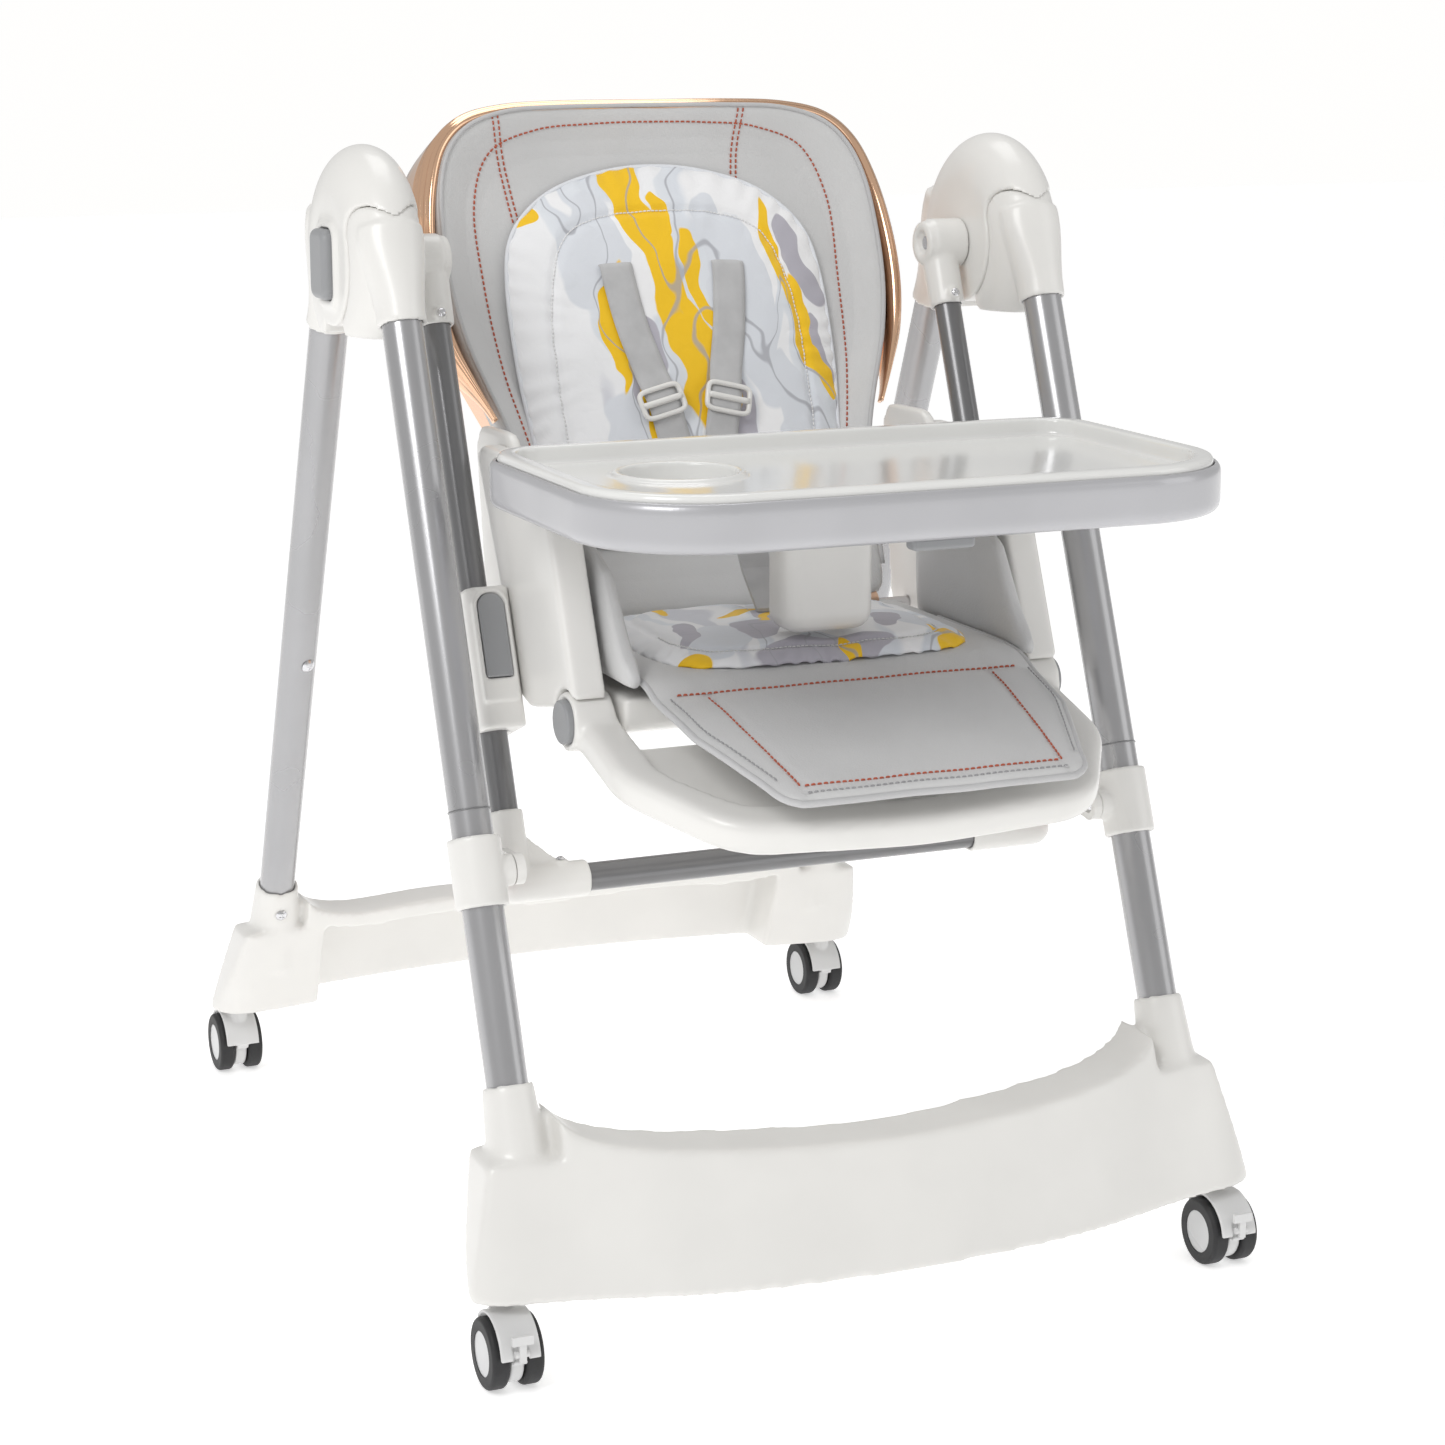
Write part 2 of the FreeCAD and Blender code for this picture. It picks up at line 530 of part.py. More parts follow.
def caster(tag, sx, ys, ya, brake):
    """Twin-wheel caster: stem at ys, axle at ya; the hood faces the chair's front."""
    x = sx * G["caster_x"]
    c = V(x, ya, WR)
    hood = cyl(V(x - WG / 2 + 0.9, ya, WR), V(x + WG / 2 - 0.9, ya, WR), WR - 3.5)
    shell = cyl(V(x - WG / 2 - 8.5, ya, WR), V(x + WG / 2 + 8.5, ya, WR), WR + 4.6)
    shell = shell.cut(cyl(V(x - 60, ya, WR), V(x + 60, ya, WR), WR + 1.6))
    shell = shell.common(Part.makeBox(80, 80, 80, V(x - 40, ya - 58, WR + 4)))
    shell = shell.common(Part.makeBox(80, 80, 80, V(x - 40, ya - 52, WR - 2)))
    core = Part.makeBox(WG - 1.8, 2 * WR, WR + 4, V(x - WG / 2 + .9, ya - WR - 3, WR)).common(cyl(V(x - 30, ya, WR), V(x + 30, ya, WR), WR + 3))
    hood = hood.fuse(core).fuse(shell)
    neck = cyl(V(x, ys, WR + 20), V(x, ys, G["beam_bottom"] - 1.2), 8.2)
    neck = neck.cut(cyl(V(x - 60, ya, WR), V(x + 60, ya, WR), WR + 1.6))
    stem = cyl(V(x, ys, WR + 26), V(x, ys, 90), G["stem_dia"] / 2)
    hood = hood.fuse(neck).fuse(stem)
    hood = hood.cut(cyl(V(x - 30, ya, WR), V(x + 30, ya, WR), G["axle_dia"] / 2 + 0.06))
    if brake:
        hood = hood.cut(Part.makeBox(11, 14, 12, V(x - 5.5, ya - WR - 14, WR + 3)))
    hood = hood.removeSplitter()
    put("caster_hood_" + tag, hood)
    xa, xb = WG / 2, WG / 2 + WW
    tyres, hubs = [], []
    for s in (-1, 1):
        w = Part.makeCylinder(WR, WW, V(x + s * xa, ya, WR), XA * s)
        w = soften(w, 3.0)
        rim = Part.makeCylinder(WR * .63, WW + 2, V(x + s * (xa - 1), ya, WR), XA * s)
        tyres.append(w.cut(rim))
        h = Part.makeCylinder(WR * .63 - .02, WW - 1.0, V(x + s * (xa + .4), ya, WR), XA * s)
        hubs.append(h)
    axle = cyl(V(x - xb + 3, ya, WR), V(x + xb - 3, ya, WR), G["axle_dia"] / 2)
    put("caster_tyres_" + tag, tyres)
    put("caster_wheels_" + tag, hubs[0].fuse(axle).fuse(hubs[1]).removeSplitter())
    if brake:
        yb = ya - WR - 4.2
        t = Part.makeBox(15, 3.2, 6.5, V(x - 7.5, yb - 4.2, WR + 16.5)).fuse(Part.makeBox(5, 3.0, 15, V(x - 2.5, yb - 3.6, WR + 4)))
        t = t.fuse(cyl(V(x - 5, yb - .6, WR + 9), V(x + 5, yb - .6, WR + 9), 2.4))
        put("brake_tab_" + tag, t.removeSplitter())


TRAIL = G["caster_trail"]
caster("fl", -1, FST, FST - TRAIL, True)
caster("fr", 1, FST, FST - TRAIL, True)
caster("rl", -1, RST, RST + TRAIL, False)
caster("rr", 1, RST, RST + TRAIL, False)

# ------------------------------------------------------------------ seat carrier
# slider housings round the swing tubes
def along(z0, z1):
    return swing_at(z0, 0), swing_at(z1, 0)


def rect_at(z, x0, x1, f, b, r):
    c = swing_at(z, 0)
    return [c + XA * x0 + NF * f, c + XA * x1 + NF * f, c + XA * x1 - NF * b, c + XA * x0 - NF * b]


L = (508 - 410) / -DF.z
hs = slab(rect_at(508, 194, 228, 25, 20, 0), [7, 9, 7, 3], DF * L)
hs = soften(hs, 2.0, lambda e: e.Length > 20 and abs(e.BoundBox.ZLength) < 20)


def pad_outline(x0, x1, z0, z1, w, r):
    """Upright oblong on the front of the slider with a rounded top."""
    return [swing_at(z0, x0) + NF * w, swing_at(z0, x1) + NF * w, swing_at(z1, x1) + NF * w, swing_at(z1, x0) + NF * w], [r, r, 1.5, 1.5]


bezel = slab(*pad_outline(197.5, 225.5, 506, 428, 24, 12), vec=NF * 4)
hs = hs.fuse(bezel)
padcut = slab(*pad_outline(201, 222, 502.5, 444, 20.4, 10.2), vec=NF * 12)
hs = hs.cut(padcut)
hs = hs.cut(cyl(swing_at(530, SX), swing_at(380, SX), G["swing_dia"] / 2 + 0.08))
hs = hs.removeSplitter()
put("height_sliders", [hs, mirror(hs)])
hb = slab(*pad_outline(201.4, 221.6, 502.1, 444.4, 24.4, 9.8), vec=NF * 5)
hb = soften(hb, 1.5, lambda e: (e.CenterOfMass - swing_at(473, SX)).dot(NF) > 29.3)
put("height_button_right", hb)
put("height_button_left", mirror(hb))

# side panels (armrests): outer wall with a bevelled front post and stepped top
def side(pts, r, x0, x1):
    return prism(rounded([V(0, y, z) for y, z in pts], r), x0, x1)


LY, LZ = G["legrest_y"], G["legrest_z"]
EYE = cyl(V(150, LY, LZ), V(205, LY, LZ), 23.0)          # room for the leg-rest pivot
panel = side([(-88, 584), (-108, 584), (-160, 458), (-150, 448), (-70, 432), (-46, 438), (-8, 512), (42, 604), (30, 612), (-76, 612), (-82, 606)],
             [0, 8, 10, 8, 16, 14, 26, 6, 6, 3, 3], 177.6, 193.8)
post = side([(-60, 584), (-109, 584), (-163, 456), (-152, 446), (-120, 448)], [0, 8, 7, 5, 0], 168, 193.8)
post = post.cut(prism(face([V(0, -90, 584.5), V(0, -150, 440), V(0, -100, 430), V(0, -40, 584.5)]), 160, 177.6))
panel = panel.fuse(post).removeSplitter().cut(EYE)
panel = soften(panel, 4, lambda e: e.BoundBox.XLength < .1 and e.BoundBox.XMax > 193.7 and e.Length > 40)
put("side_panels", [panel, mirror(panel)])

# seat shell: a pan with low sides between the panels and a pivot bar for the leg rest
SZ0 = G["seat_z"]
PW = 158
pan = side([(-172, SZ0 - 3), (-172, SZ0 - 26), (-120, SZ0 - 40), (0, SZ0 - 34), (22, SZ0 - 10), (22, SZ0 - 3)], [2, 8, 20, 16, 6, 2], -PW, PW)
pan = pan.cut(side([(-166, SZ0 - 6), (-156, SZ0 - 22), (-118, SZ0 - 36), (-2, SZ0 - 30), (16, SZ0 - 10), (16, SZ0 - 6)], [2, 6, 16, 12, 4, 2], -PW + 3.5, PW - 3.5))
wall = side([(-104, SZ0 - 10), (-56, SZ0 + 95), (20, SZ0 + 164), (80, SZ0 + 162), (90, SZ0 + 146), (70, SZ0 + 6), (40, SZ0 - 12)], [10, 30, 30, 12, 12, 16, 6], 168, 177.4)
foot = side([(-104, SZ0 - 10), (-60, SZ0 + 20), (10, SZ0 + 6), (18, SZ0 - 12), (0, SZ0 - 30), (-100, SZ0 - 34)], [4, 10, 4, 2, 10, 10], 157, 168.5)
wall = wall.fuse(foot)
pan = pan.fuse(wall).fuse(mirror(wall)).fuse(cyl(V(-186, LY, LZ), V(186, LY, LZ), 9.0)).removeSplitter()
HPIN = swing_at(0) * 0 + V(0, G["recline_y"], G["recline_z"]) - NF * 14
pan = pan.cut(cyl(V(-180, HPIN.y, HPIN.z), V(180, HPIN.y, HPIN.z), 5.05)).removeSplitter()
put("seat_shell", pan)

# ------------------------------------------------------------------ leg rest
fall = math.radians(G["legrest_fall"])
AX = Vector(0, -math.cos(fall), -math.sin(fall))      # outwards along the leg rest
NX = Vector(0, -math.sin(fall), math.cos(fall))       # up through the leg rest
LO = V(0, LY, LZ)


def lr(x, a, n=0.0):
    return LO + XA * x + AX * a + NX * n


def lr_ring(o, n0, n1, a_back):
    """U-shaped outline of the leg rest, inset by o from the outside."""
    pts = [lr(-190 + o, a_back, n0), lr(-190 + o, 96, n0), lr(-138 + o * .6, 184 - o, n0), lr(0, 196 - o, n0),
           lr(138 - o * .6, 184 - o, n0), lr(190 - o, 96, n0), lr(190 - o, a_back, n0)]
    return Part.Face(rounded(pts, [0, max(70 - o * .5, 20), max(60 - o * .5, 20), 300, max(60 - o * .5, 20), max(70 - o * .5, 20), 0])).extrude(NX * (n1 - n0))


u = lr_ring(0, -17, 8, 0)
u = soften(u, 8, lambda e: e.Length > 12 and abs(e.BoundBox.DiagonalLength) > 12 and not (abs(e.BoundBox.XLength) < .01 and e.Length < 40))
u = u.cut(lr_ring(30, -40, 20, -30))
deck = lr_ring(26, -6, 0, 46)
for sx in (-1, 1):
    u = u.fuse(cyl(V(sx * 194, LY, LZ), V(sx * 162, LY, LZ), 21.5))
u = u.fuse(deck)
for sx in (-1, 1):
    # space for the grey release caps and for the pivot trunnions
    u = u.cut(cyl(V(sx * 188, LY, LZ), V(sx * 205, LY, LZ), 16.3))
    u = u.cut(cyl(V(sx * 150, LY, LZ), V(sx * 188.1, LY, LZ), 9.06))
u = u.removeSplitter()
put("legrest_frame", u)
for side_name, sx in (("left", -1), ("right", 1)):
    c = cyl(V(sx * 191.5, LY, LZ), V(sx * 198, LY, LZ), 16.0)
    c = soften(c, 2.0, lambda e: (e.BoundBox.XMax > 197.9 or e.BoundBox.XMin < -197.9))
    put("legrest_button_" + side_name, c)

# ------------------------------------------------------------------ backrest (laid out along the recline direction)
RY, RZ = G["recline_y"], G["recline_z"]
UP = DF * -1                               # up the back
FW = Vector(0, -UP.z, UP.y)                # forward, out of the face
B0 = V(0, RY, RZ)


def bk_pt(x, s, w=0.0):
    return B0 + XA * x + UP * s + FW * w


HALF = [(0, 421), (70, 421), (120, 418.5), (157, 409), (182, 386), (196, 350), (203, 305), (203, 262), (196, 222), (184, 190), (170, 158)]
LOWER = [(158, 128), (150, 90), (147, 40), (146, 6)]


def back_wire(off, w, lower=True, s_min=None):
    pts = HALF + (LOWER if lower else [])
    out = []
    n = len(pts)
    for i, (x, s) in enumerate(pts):
        a = pts[max(i - 1, 0)]
        b = pts[min(i + 1, n - 1)]
        tx, ts = b[0] - a[0], b[1] - a[1]
        if i == 0:
            tx, ts = 1, 0
        k = math.hypot(tx, ts)
        nx, ns = ts / k, -tx / k            # inwards
        out.append((max(x + nx * off, 0) if i else 0, s + ns * off if not (lower and i == n - 1) else s))
    right = [bk_pt(x, s, w) for x, s in out]
    left = [bk_pt(-x, s, w) for x, s in reversed(out[1:])]
    c = Part.BSplineCurve()
    c.interpolate(left + right)
    return Part.Wire([c.toShape(), Part.LineSegment(right[-1], left[0]).toShape()])


shell_out = Part.Face(back_wire(16.4, -46)).extrude(FW * 44)
shell_in = Part.Face(back_wire(21.4, -41)).extrude(FW * 60)
shell = shell_out.cut(shell_in)
# hinge ears at the foot of the back
for sx in (-1, 1):
    ear = cyl(bk_pt(sx * 118, 0, -14) , bk_pt(sx * 138, 0, -14), 13) if sx > 0 else cyl(bk_pt(-138, 0, -14), bk_pt(-118, 0, -14), 13)
    shell = shell.fuse(ear)
shell = shell.cut(cyl(bk_pt(-200, 0, -14), bk_pt(200, 0, -14), 5.06)).removeSplitter()
put("backrest_shell", shell)
trim_out = Part.Face(back_wire(0, -70, False)).extrude(FW * 76)
trim_in = Part.Face(back_wire(16.0, -76, False)).extrude(FW * 96)
trim = trim_out.cut(trim_in)
trim = trim.cut(slab([bk_pt(-155.6, 100, -90), bk_pt(155.6, 100, -90), bk_pt(155.6, 168, -90), bk_pt(-155.6, 168, -90)], 0, FW * 120))
trim = max(trim.Solids, key=lambda s: s.Volume)
trim = soften(trim, 5, lambda e: e.Length > 300)
put("backrest_trim", trim)
HINGE = bk_pt(0, 0, -14)
put("recline_pin", cyl(V(-176, HINGE.y, HINGE.z), V(176, HINGE.y, HINGE.z), 5.0))
# recline handle on the rear of the shell
hy = [bk_pt(-34, 300, -46.6), bk_pt(34, 300, -46.6), bk_pt(34, 340, -46.6), bk_pt(-34, 340, -46.6)]
hdl = Part.Face(rounded(hy, 10)).extrude(FW * -16)
hdl = hdl.cut(Part.Face(rounded([bk_pt(-24, 308, -50), bk_pt(24, 308, -50), bk_pt(24, 326, -50), bk_pt(-24, 326, -50)], 6)).extrude(FW * -20))
hdl = soften(hdl, 3, lambda e: e.Length > 30)
put("recline_handle", hdl)

# soft parts, plain closed solids
cover = Part.Face(back_wire(17.2, -1.6)).extrude(FW * 9.6)
cover = cover.fuse(Part.Face(back_wire(22.2, -34)).extrude(FW * 34))
cover = cover.cut(slab([bk_pt(-170, -8, -42), bk_pt(170, -8, -42), bk_pt(170, 17, -42), bk_pt(-170, 17, -42)], 0, FW * 40.2))
cover = cover.cut(slab([bk_pt(-128, 20, -13), bk_pt(128, 20, -13), bk_pt(146, 372, -13), bk_pt(-146, 372, -13)], [20, 20, 90, 90], FW * 40))
put("pad_back", cover)
cush = slab([bk_pt(-124, 64, -12.4), bk_pt(124, 64, -12.4), bk_pt(133, 362, -12.4), bk_pt(-133, 362, -12.4)], [20, 20, 110, 110], FW * 18)
put("cushion_back", cush)
seatpad = side([(-164, SZ0), (-164, SZ0 + 11), (10, SZ0 + 11), (10, SZ0)], 0, -150, 150)
put("pad_seat", seatpad)
cs = side([(-196 + 12, SZ0 + 11.8), (-196 + 12, SZ0 + 31), (8, SZ0 + 31), (8, SZ0 + 11.8)], [4, 9, 6, 4], -118, 118)
put("cushion_seat", cs)
lp = slab([lr(-150, 46, 9), lr(-150, 110, 9), lr(-116, 204, 9), lr(116, 204, 9), lr(150, 110, 9), lr(150, 46, 9)],
          [4, 60, 50, 50, 60, 4], NX * 27)
put("pad_legrest", lp)
# harness
straps = []
for sx in (-1, 1):
    st = slab([bk_pt(sx * 14 - 13, 100, 6.2), bk_pt(sx * 14 + 13, 100, 6.2), bk_pt(sx * 48 + 13, 285, 6.2), bk_pt(sx * 48 - 13, 285, 6.2)], 3, FW * 2.2)
    straps.append(st)
put("shoulder_straps", straps)
bks = []
for sx in (-1, 1):
    c = (sx * 27.5, 166)
    b = slab([bk_pt(c[0] - 17, c[1] - 9, 8.8), bk_pt(c[0] + 17, c[1] - 9, 8.8), bk_pt(c[0] + 17, c[1] + 9, 8.8), bk_pt(c[0] - 17, c[1] + 9, 8.8)], 3, FW * 3)
    for o in (-5, 5):
        b = b.cut(slab([bk_pt(c[0] - 13, c[1] + o - 2, 8), bk_pt(c[0] + 13, c[1] + o - 2, 8), bk_pt(c[0] + 13, c[1] + o + 2, 8), bk_pt(c[0] - 13, c[1] + o + 2, 8)], 1, FW * 5))
    bks.append(b)
put("strap_buckles", bks)
cst = side([(-70, SZ0 + 31.6), (-70, SZ0 + 33.8), (-42, SZ0 + 60), (-22, SZ0 + 92), (-19.6, SZ0 + 91), (-40, SZ0 + 57.6), (-68, SZ0 + 31.6)], 0, -12, 12)
put("crotch_strap", cst)
bkl = slab([V(-26, -25, SZ0 + 96), V(26, -25, SZ0 + 96), V(26, -16, SZ0 + 126), V(-26, -16, SZ0 + 126)], 7, V(0, 9, -3))
put("harness_buckle", bkl)

# ------------------------------------------------------------------ tray
TH, TB, TF = G["tray_half"], G["tray_back"], G["tray_front"]
TT, TZ = G["tray_top_z"], G["tray_bottom_z"]


def tray_wire(o, z, rb=45, rf=92):
    return rounded([V(-TH + o, TB - o, z), V(TH - o, TB - o, z), V(TH - o, TF + o, z), V(-TH + o, TF + o, z)],
                   [max(rb - o, 6), max(rb - o, 6), max(rf - o, 6), max(rf - o, 6)])


def tray_slab(o, z0, z1):
    return Part.Face(tray_wire(o, z0)).extrude(V(0, 0, z1 - z0))


base = tray_slab(0, TZ, TT - 4)
base = soften(base, 7, lambda e: e.BoundBox.ZLength < .1)
base = base.cut(tray_slab(5, TZ + 4, TT + 10))
# underside beams and crotch post are fixed to the tray base
put("tray_base", base)
top = tray_slab(5.4, TT - 8, TT)
top = soften(top, 4, lambda e: e.BoundBox.ZLength < .1 and e.BoundBox.ZMin > TT - .5)
well = tray_slab(19, TT - 12.5, TT + 5)
floor = tray_slab(16, TT - 16, TT - 8)
top = top.fuse(floor).cut(well)
cup = V(-124, -190, TT - 12.5)
top = top.fuse(cyl(cup + V(0, 0, -18), cup + V(0, 0, 0.2), 44))
ring = cyl(cup + V(0, 0, -.5), cup + V(0, 0, 3.2), 46.5)
top = top.fuse(ring).cut(cyl(cup + V(0, 0, -14.5), cup + V(0, 0, 10), 41))
top = top.removeSplitter()
put("tray_top", top)
under = slab([V(-182, -118, TZ - .2), V(182, -118, TZ - .2), V(182, -206, TZ - .2), V(-182, -206, TZ - .2)], 14, V(0, 0, -5))
for sx in (-1, 1):
    r = Part.makeBox(30, 86, 18, V(sx * 166 - 15, -205, TZ - 18.2))
    under = under.fuse(soften(r, 4))
postp = slab([V(-36, -134, TZ - 2), V(36, -134, TZ - 2), V(36, -178, TZ - 2), V(-36, -178, TZ - 2)], 15, V(0, 0, -95.5))
postp = soften(postp, 14, lambda e: e.BoundBox.ZMax < TZ - 95)
put("tray_underframe", under.fuse(postp).removeSplitter())
rel = Part.makeBox(46, 14, 9, V(-23, -352, TZ - 9.4))
rel = soften(rel, 3)
put("tray_release", rel)

doc.recompute()
bad = []
for o in doc.Objects:
    if "Invalid" in o.State or "Error" in o.State:
        bad.append((o.Name, o.State))
for n, o in PARTS.items():
    if o.Shape.isNull() or not o.Shape.isValid() or not o.Shape.Solids:
        bad.append((n, "shape"))
if bad:
    raise RuntimeError("failed objects: %s" % bad)
os.makedirs("parts", exist_ok=True)
lo, hi = [1e9] * 3, [-1e9] * 3
for n, o in PARTS.items():
    o.Shape.exportStep("parts/%s.step" % n)
    b = o.Shape.BoundBox
    lo = [min(lo[0], b.XMin), min(lo[1], b.YMin), min(lo[2], b.ZMin)]
    hi = [max(hi[0], b.XMax), max(hi[1], b.YMax), max(hi[2], b.ZMax)]
print(len(PARTS), "parts", [round(v, 2) for v in lo], [round(v, 2) for v in hi], "centre y", round((lo[1] + hi[1]) / 2, 3))
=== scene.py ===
import bpy, bmesh, math, json
import numpy as np
from mathutils import Vector, Matrix, noise


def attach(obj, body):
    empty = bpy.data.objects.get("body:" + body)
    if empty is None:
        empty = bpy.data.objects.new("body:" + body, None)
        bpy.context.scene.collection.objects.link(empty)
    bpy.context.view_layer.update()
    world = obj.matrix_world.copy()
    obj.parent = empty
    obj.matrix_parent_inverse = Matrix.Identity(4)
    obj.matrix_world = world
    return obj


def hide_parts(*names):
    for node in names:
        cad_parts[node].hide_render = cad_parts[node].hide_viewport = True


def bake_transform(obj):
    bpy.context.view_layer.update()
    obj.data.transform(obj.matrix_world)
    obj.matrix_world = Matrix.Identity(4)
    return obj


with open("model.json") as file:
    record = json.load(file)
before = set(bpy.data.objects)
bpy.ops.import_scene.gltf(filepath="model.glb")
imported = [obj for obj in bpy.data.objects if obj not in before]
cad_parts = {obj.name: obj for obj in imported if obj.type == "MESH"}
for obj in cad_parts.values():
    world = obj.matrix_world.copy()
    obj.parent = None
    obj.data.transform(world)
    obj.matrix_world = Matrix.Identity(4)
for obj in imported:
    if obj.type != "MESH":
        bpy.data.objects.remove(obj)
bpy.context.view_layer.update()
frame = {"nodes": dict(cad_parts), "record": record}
NODES = frame["nodes"]
BODY = {n: b for b, ns in frame["record"]["behaviour"]["bodies"].items() for n in ns}
OY = -65.9
MM = 0.001
COL = bpy.context.scene.collection

# ------------------------------------------------------------ layout helpers (millimetres in, metres out)
LEAN_C, LEAN_S = 0.92848, 0.37139
B0 = np.array([0.0, 28.0 + OY, 470.0])
UP = np.array([0.0, LEAN_S, LEAN_C])
FW = np.array([0.0, -LEAN_C, LEAN_S])
FALL = math.radians(15.5)
LO = np.array([0.0, -146.0 + OY, 437.0])
AX = np.array([0.0, -math.cos(FALL), -math.sin(FALL)])
NX = np.array([0.0, -math.sin(FALL), math.cos(FALL)])


def bk(x, s, w):
    return (B0 + np.array([x, 0, 0]) + UP * s + FW * w) * MM


def lr(x, a, n):
    return (LO + np.array([x, 0, 0]) + AX * a + NX * n) * MM


def smooth01(t):
    t = min(max(t, 0.0), 1.0)
    return t * t * (3 - 2 * t)


def spline(pts, n, closed=False):
    """Catmull-Rom through points, resampled evenly."""
    P = np.array(pts, dtype=float)
    m = len(P)
    out = []
    segs = m if closed else m - 1
    for i in range(segs):
        if closed:
            p0, p1, p2, p3 = P[(i - 1) % m], P[i], P[(i + 1) % m], P[(i + 2) % m]
        else:
            p0, p1, p2, p3 = P[max(i - 1, 0)], P[i], P[i + 1], P[min(i + 2, m - 1)]
        for k in range(24):
            t = k / 24
            out.append(0.5 * ((2 * p1) + (-p0 + p2) * t + (2 * p0 - 5 * p1 + 4 * p2 - p3) * t * t + (-p0 + 3 * p1 - 3 * p2 + p3) * t ** 3))
    out.append(P[0] if closed else P[-1])
    out = np.array(out)
    d = np.concatenate([[0], np.cumsum(np.linalg.norm(np.diff(out, axis=0), axis=1))])
    q = np.linspace(0, d[-1], n + 1 if closed else n)
    if closed:
        q = q[:-1]
    return np.stack([np.interp(q, d, out[:, j]) for j in range(out.shape[1])], axis=1)


def mesh_obj(name, verts, faces, mat=None, smooth=True):
    me = bpy.data.meshes.new(name)
    me.from_pydata([tuple(v) for v in verts], [], faces)
    me.validate()
    bm = bmesh.new()
    bm.from_mesh(me)
    bmesh.ops.recalc_face_normals(bm, faces=bm.faces)
    bm.to_mesh(me)
    bm.free()
    o = bpy.data.objects.new(name, me)
    COL.objects.link(o)
    if mat:
        me.materials.append(mat)
    for p in me.polygons:
        p.use_smooth = smooth
    return o


def bake_mods(o):
    dg = bpy.context.evaluated_depsgraph_get()
    me = bpy.data.meshes.new_from_object(o.evaluated_get(dg))
    o.modifiers.clear()
    o.data = me
    for p in me.polygons:
        p.use_smooth = True
    return o


def grid_faces(nu, nv, wrap_u=False):
    f = []
    for j in range(nv - 1):
        for i in range(nu if wrap_u else nu - 1):
            a = j * nu + i
            b = j * nu + (i + 1) % nu
            f.append((a, b, b + nu, a + nu))
    return f


def tube(name, pts, r, mat, closed=False, sides=10, flat=1.0):
    """Round tube along points (metres) with parallel-transported rings; r may be a list."""
    P = np.array(pts)
    n = len(P)
    T = np.gradient(P, axis=0) if not closed else (np.roll(P, -1, 0) - np.roll(P, 1, 0))
    T /= np.linalg.norm(T, axis=1)[:, None]
    ref = np.array([0, 0, 1.0]) if abs(T[0][2]) < .9 else np.array([1.0, 0, 0])
    N = np.cross(T[0], ref)
    N /= np.linalg.norm(N)
    verts = []
    for i in range(n):
        N = N - T[i] * np.dot(N, T[i])
        N /= np.linalg.norm(N)
        Bn = np.cross(T[i], N)
        ri = r[i] if hasattr(r, "__len__") else r
        for k in range(sides):
            a = 2 * math.pi * k / sides
            verts.append(P[i] + (N * math.cos(a) + Bn * math.sin(a) * flat) * ri)
    faces = grid_faces(sides, n, True)
    if closed:
        for k in range(sides):
            a = (n - 1) * sides + k
            b = (n - 1) * sides + (k + 1) % sides
            faces.append((a, b, (k + 1) % sides, k))
    else:
        faces.append(tuple(range(sides)))
        faces.append(tuple(range((n - 1) * sides, n * sides)))
    return mesh_obj(name, verts, faces, mat)


def stitches(name, pts, nrm, mat, pitch=4.6, length=3.3, r=0.55, sunk=0.1):
    """A row of short threads lying on a surface; pts and nrm in metres."""
    P = np.array(pts)
    Nn = np.array(nrm)
    d = np.concatenate([[0], np.cumsum(np.linalg.norm(np.diff(P, axis=0), axis=1))]) / MM
    verts, faces = [], []
    q = pitch * 0.5
    while q + length < d[-1]:
        a = np.array([np.interp(q, d, P[:, j]) for j in range(3)])
        b = np.array([np.interp(q + length, d, P[:, j]) for j in range(3)])
        nn = np.array([np.interp(q, d, Nn[:, j]) for j in range(3)])
        nn /= np.linalg.norm(nn)
        t = (b - a) / np.linalg.norm(b - a)
        s = np.cross(nn, t)
        base = len(verts)
        prof = [(0.0, -0.25), (0.12, 0.55), (0.5, 0.8), (0.88, 0.55), (1.0, -0.25)]
        for f, h in prof:
            rr = r if 0.05 < f < 0.95 else r * 0.45
            c = a + (b - a) * f + nn * (h * r - sunk) * MM
            for k in range(6):
                an = math.pi * 2 * k / 6
                verts.append(c + (s * math.cos(an) + nn * math.sin(an)) * rr * MM)
        for j in range(len(prof) - 1):
            for k in range(6):
                faces.append((base + j * 6 + k, base + j * 6 + (k + 1) % 6, base + (j + 1) * 6 + (k + 1) % 6, base + (j + 1) * 6 + k))
        faces.append(tuple(base + k for k in range(6)))
        faces.append(tuple(base + (len(prof) - 1) * 6 + k for k in range(6)))
        q += pitch
    return mesh_obj(name, verts, faces, mat)


def ribbon(name, pts, nrm, width, thick, mat, across=7):
    """Flat strap along pts with its face along nrm; a slightly crowned section."""
    P = np.array(pts)
    Nn = np.array(nrm)
    T = np.gradient(P, axis=0)
    T /= np.linalg.norm(T, axis=1)[:, None]
    verts = []
    for p, t, nn in zip(P, T, Nn):
        nn = nn - t * np.dot(nn, t)
        nn /= np.linalg.norm(nn)
        s = np.cross(t, nn)
        ring = []
        for k in range(across):
            f = k / (across - 1) * 2 - 1
            ring.append(p + s * f * width / 2 + nn * (thick * (0.5 - 0.28 * f ** 6)))
        for k in reversed(range(across)):
            f = k / (across - 1) * 2 - 1
            ring.append(p + s * f * width / 2 - nn * (thick * (0.5 - 0.28 * f ** 6)))
        verts += ring
    m = across * 2
    faces = grid_faces(m, len(P), True)
    faces.append(tuple(range(m)))
    faces.append(tuple(range((len(P) - 1) * m, len(P) * m)))
    return mesh_obj(name, verts, faces, mat)


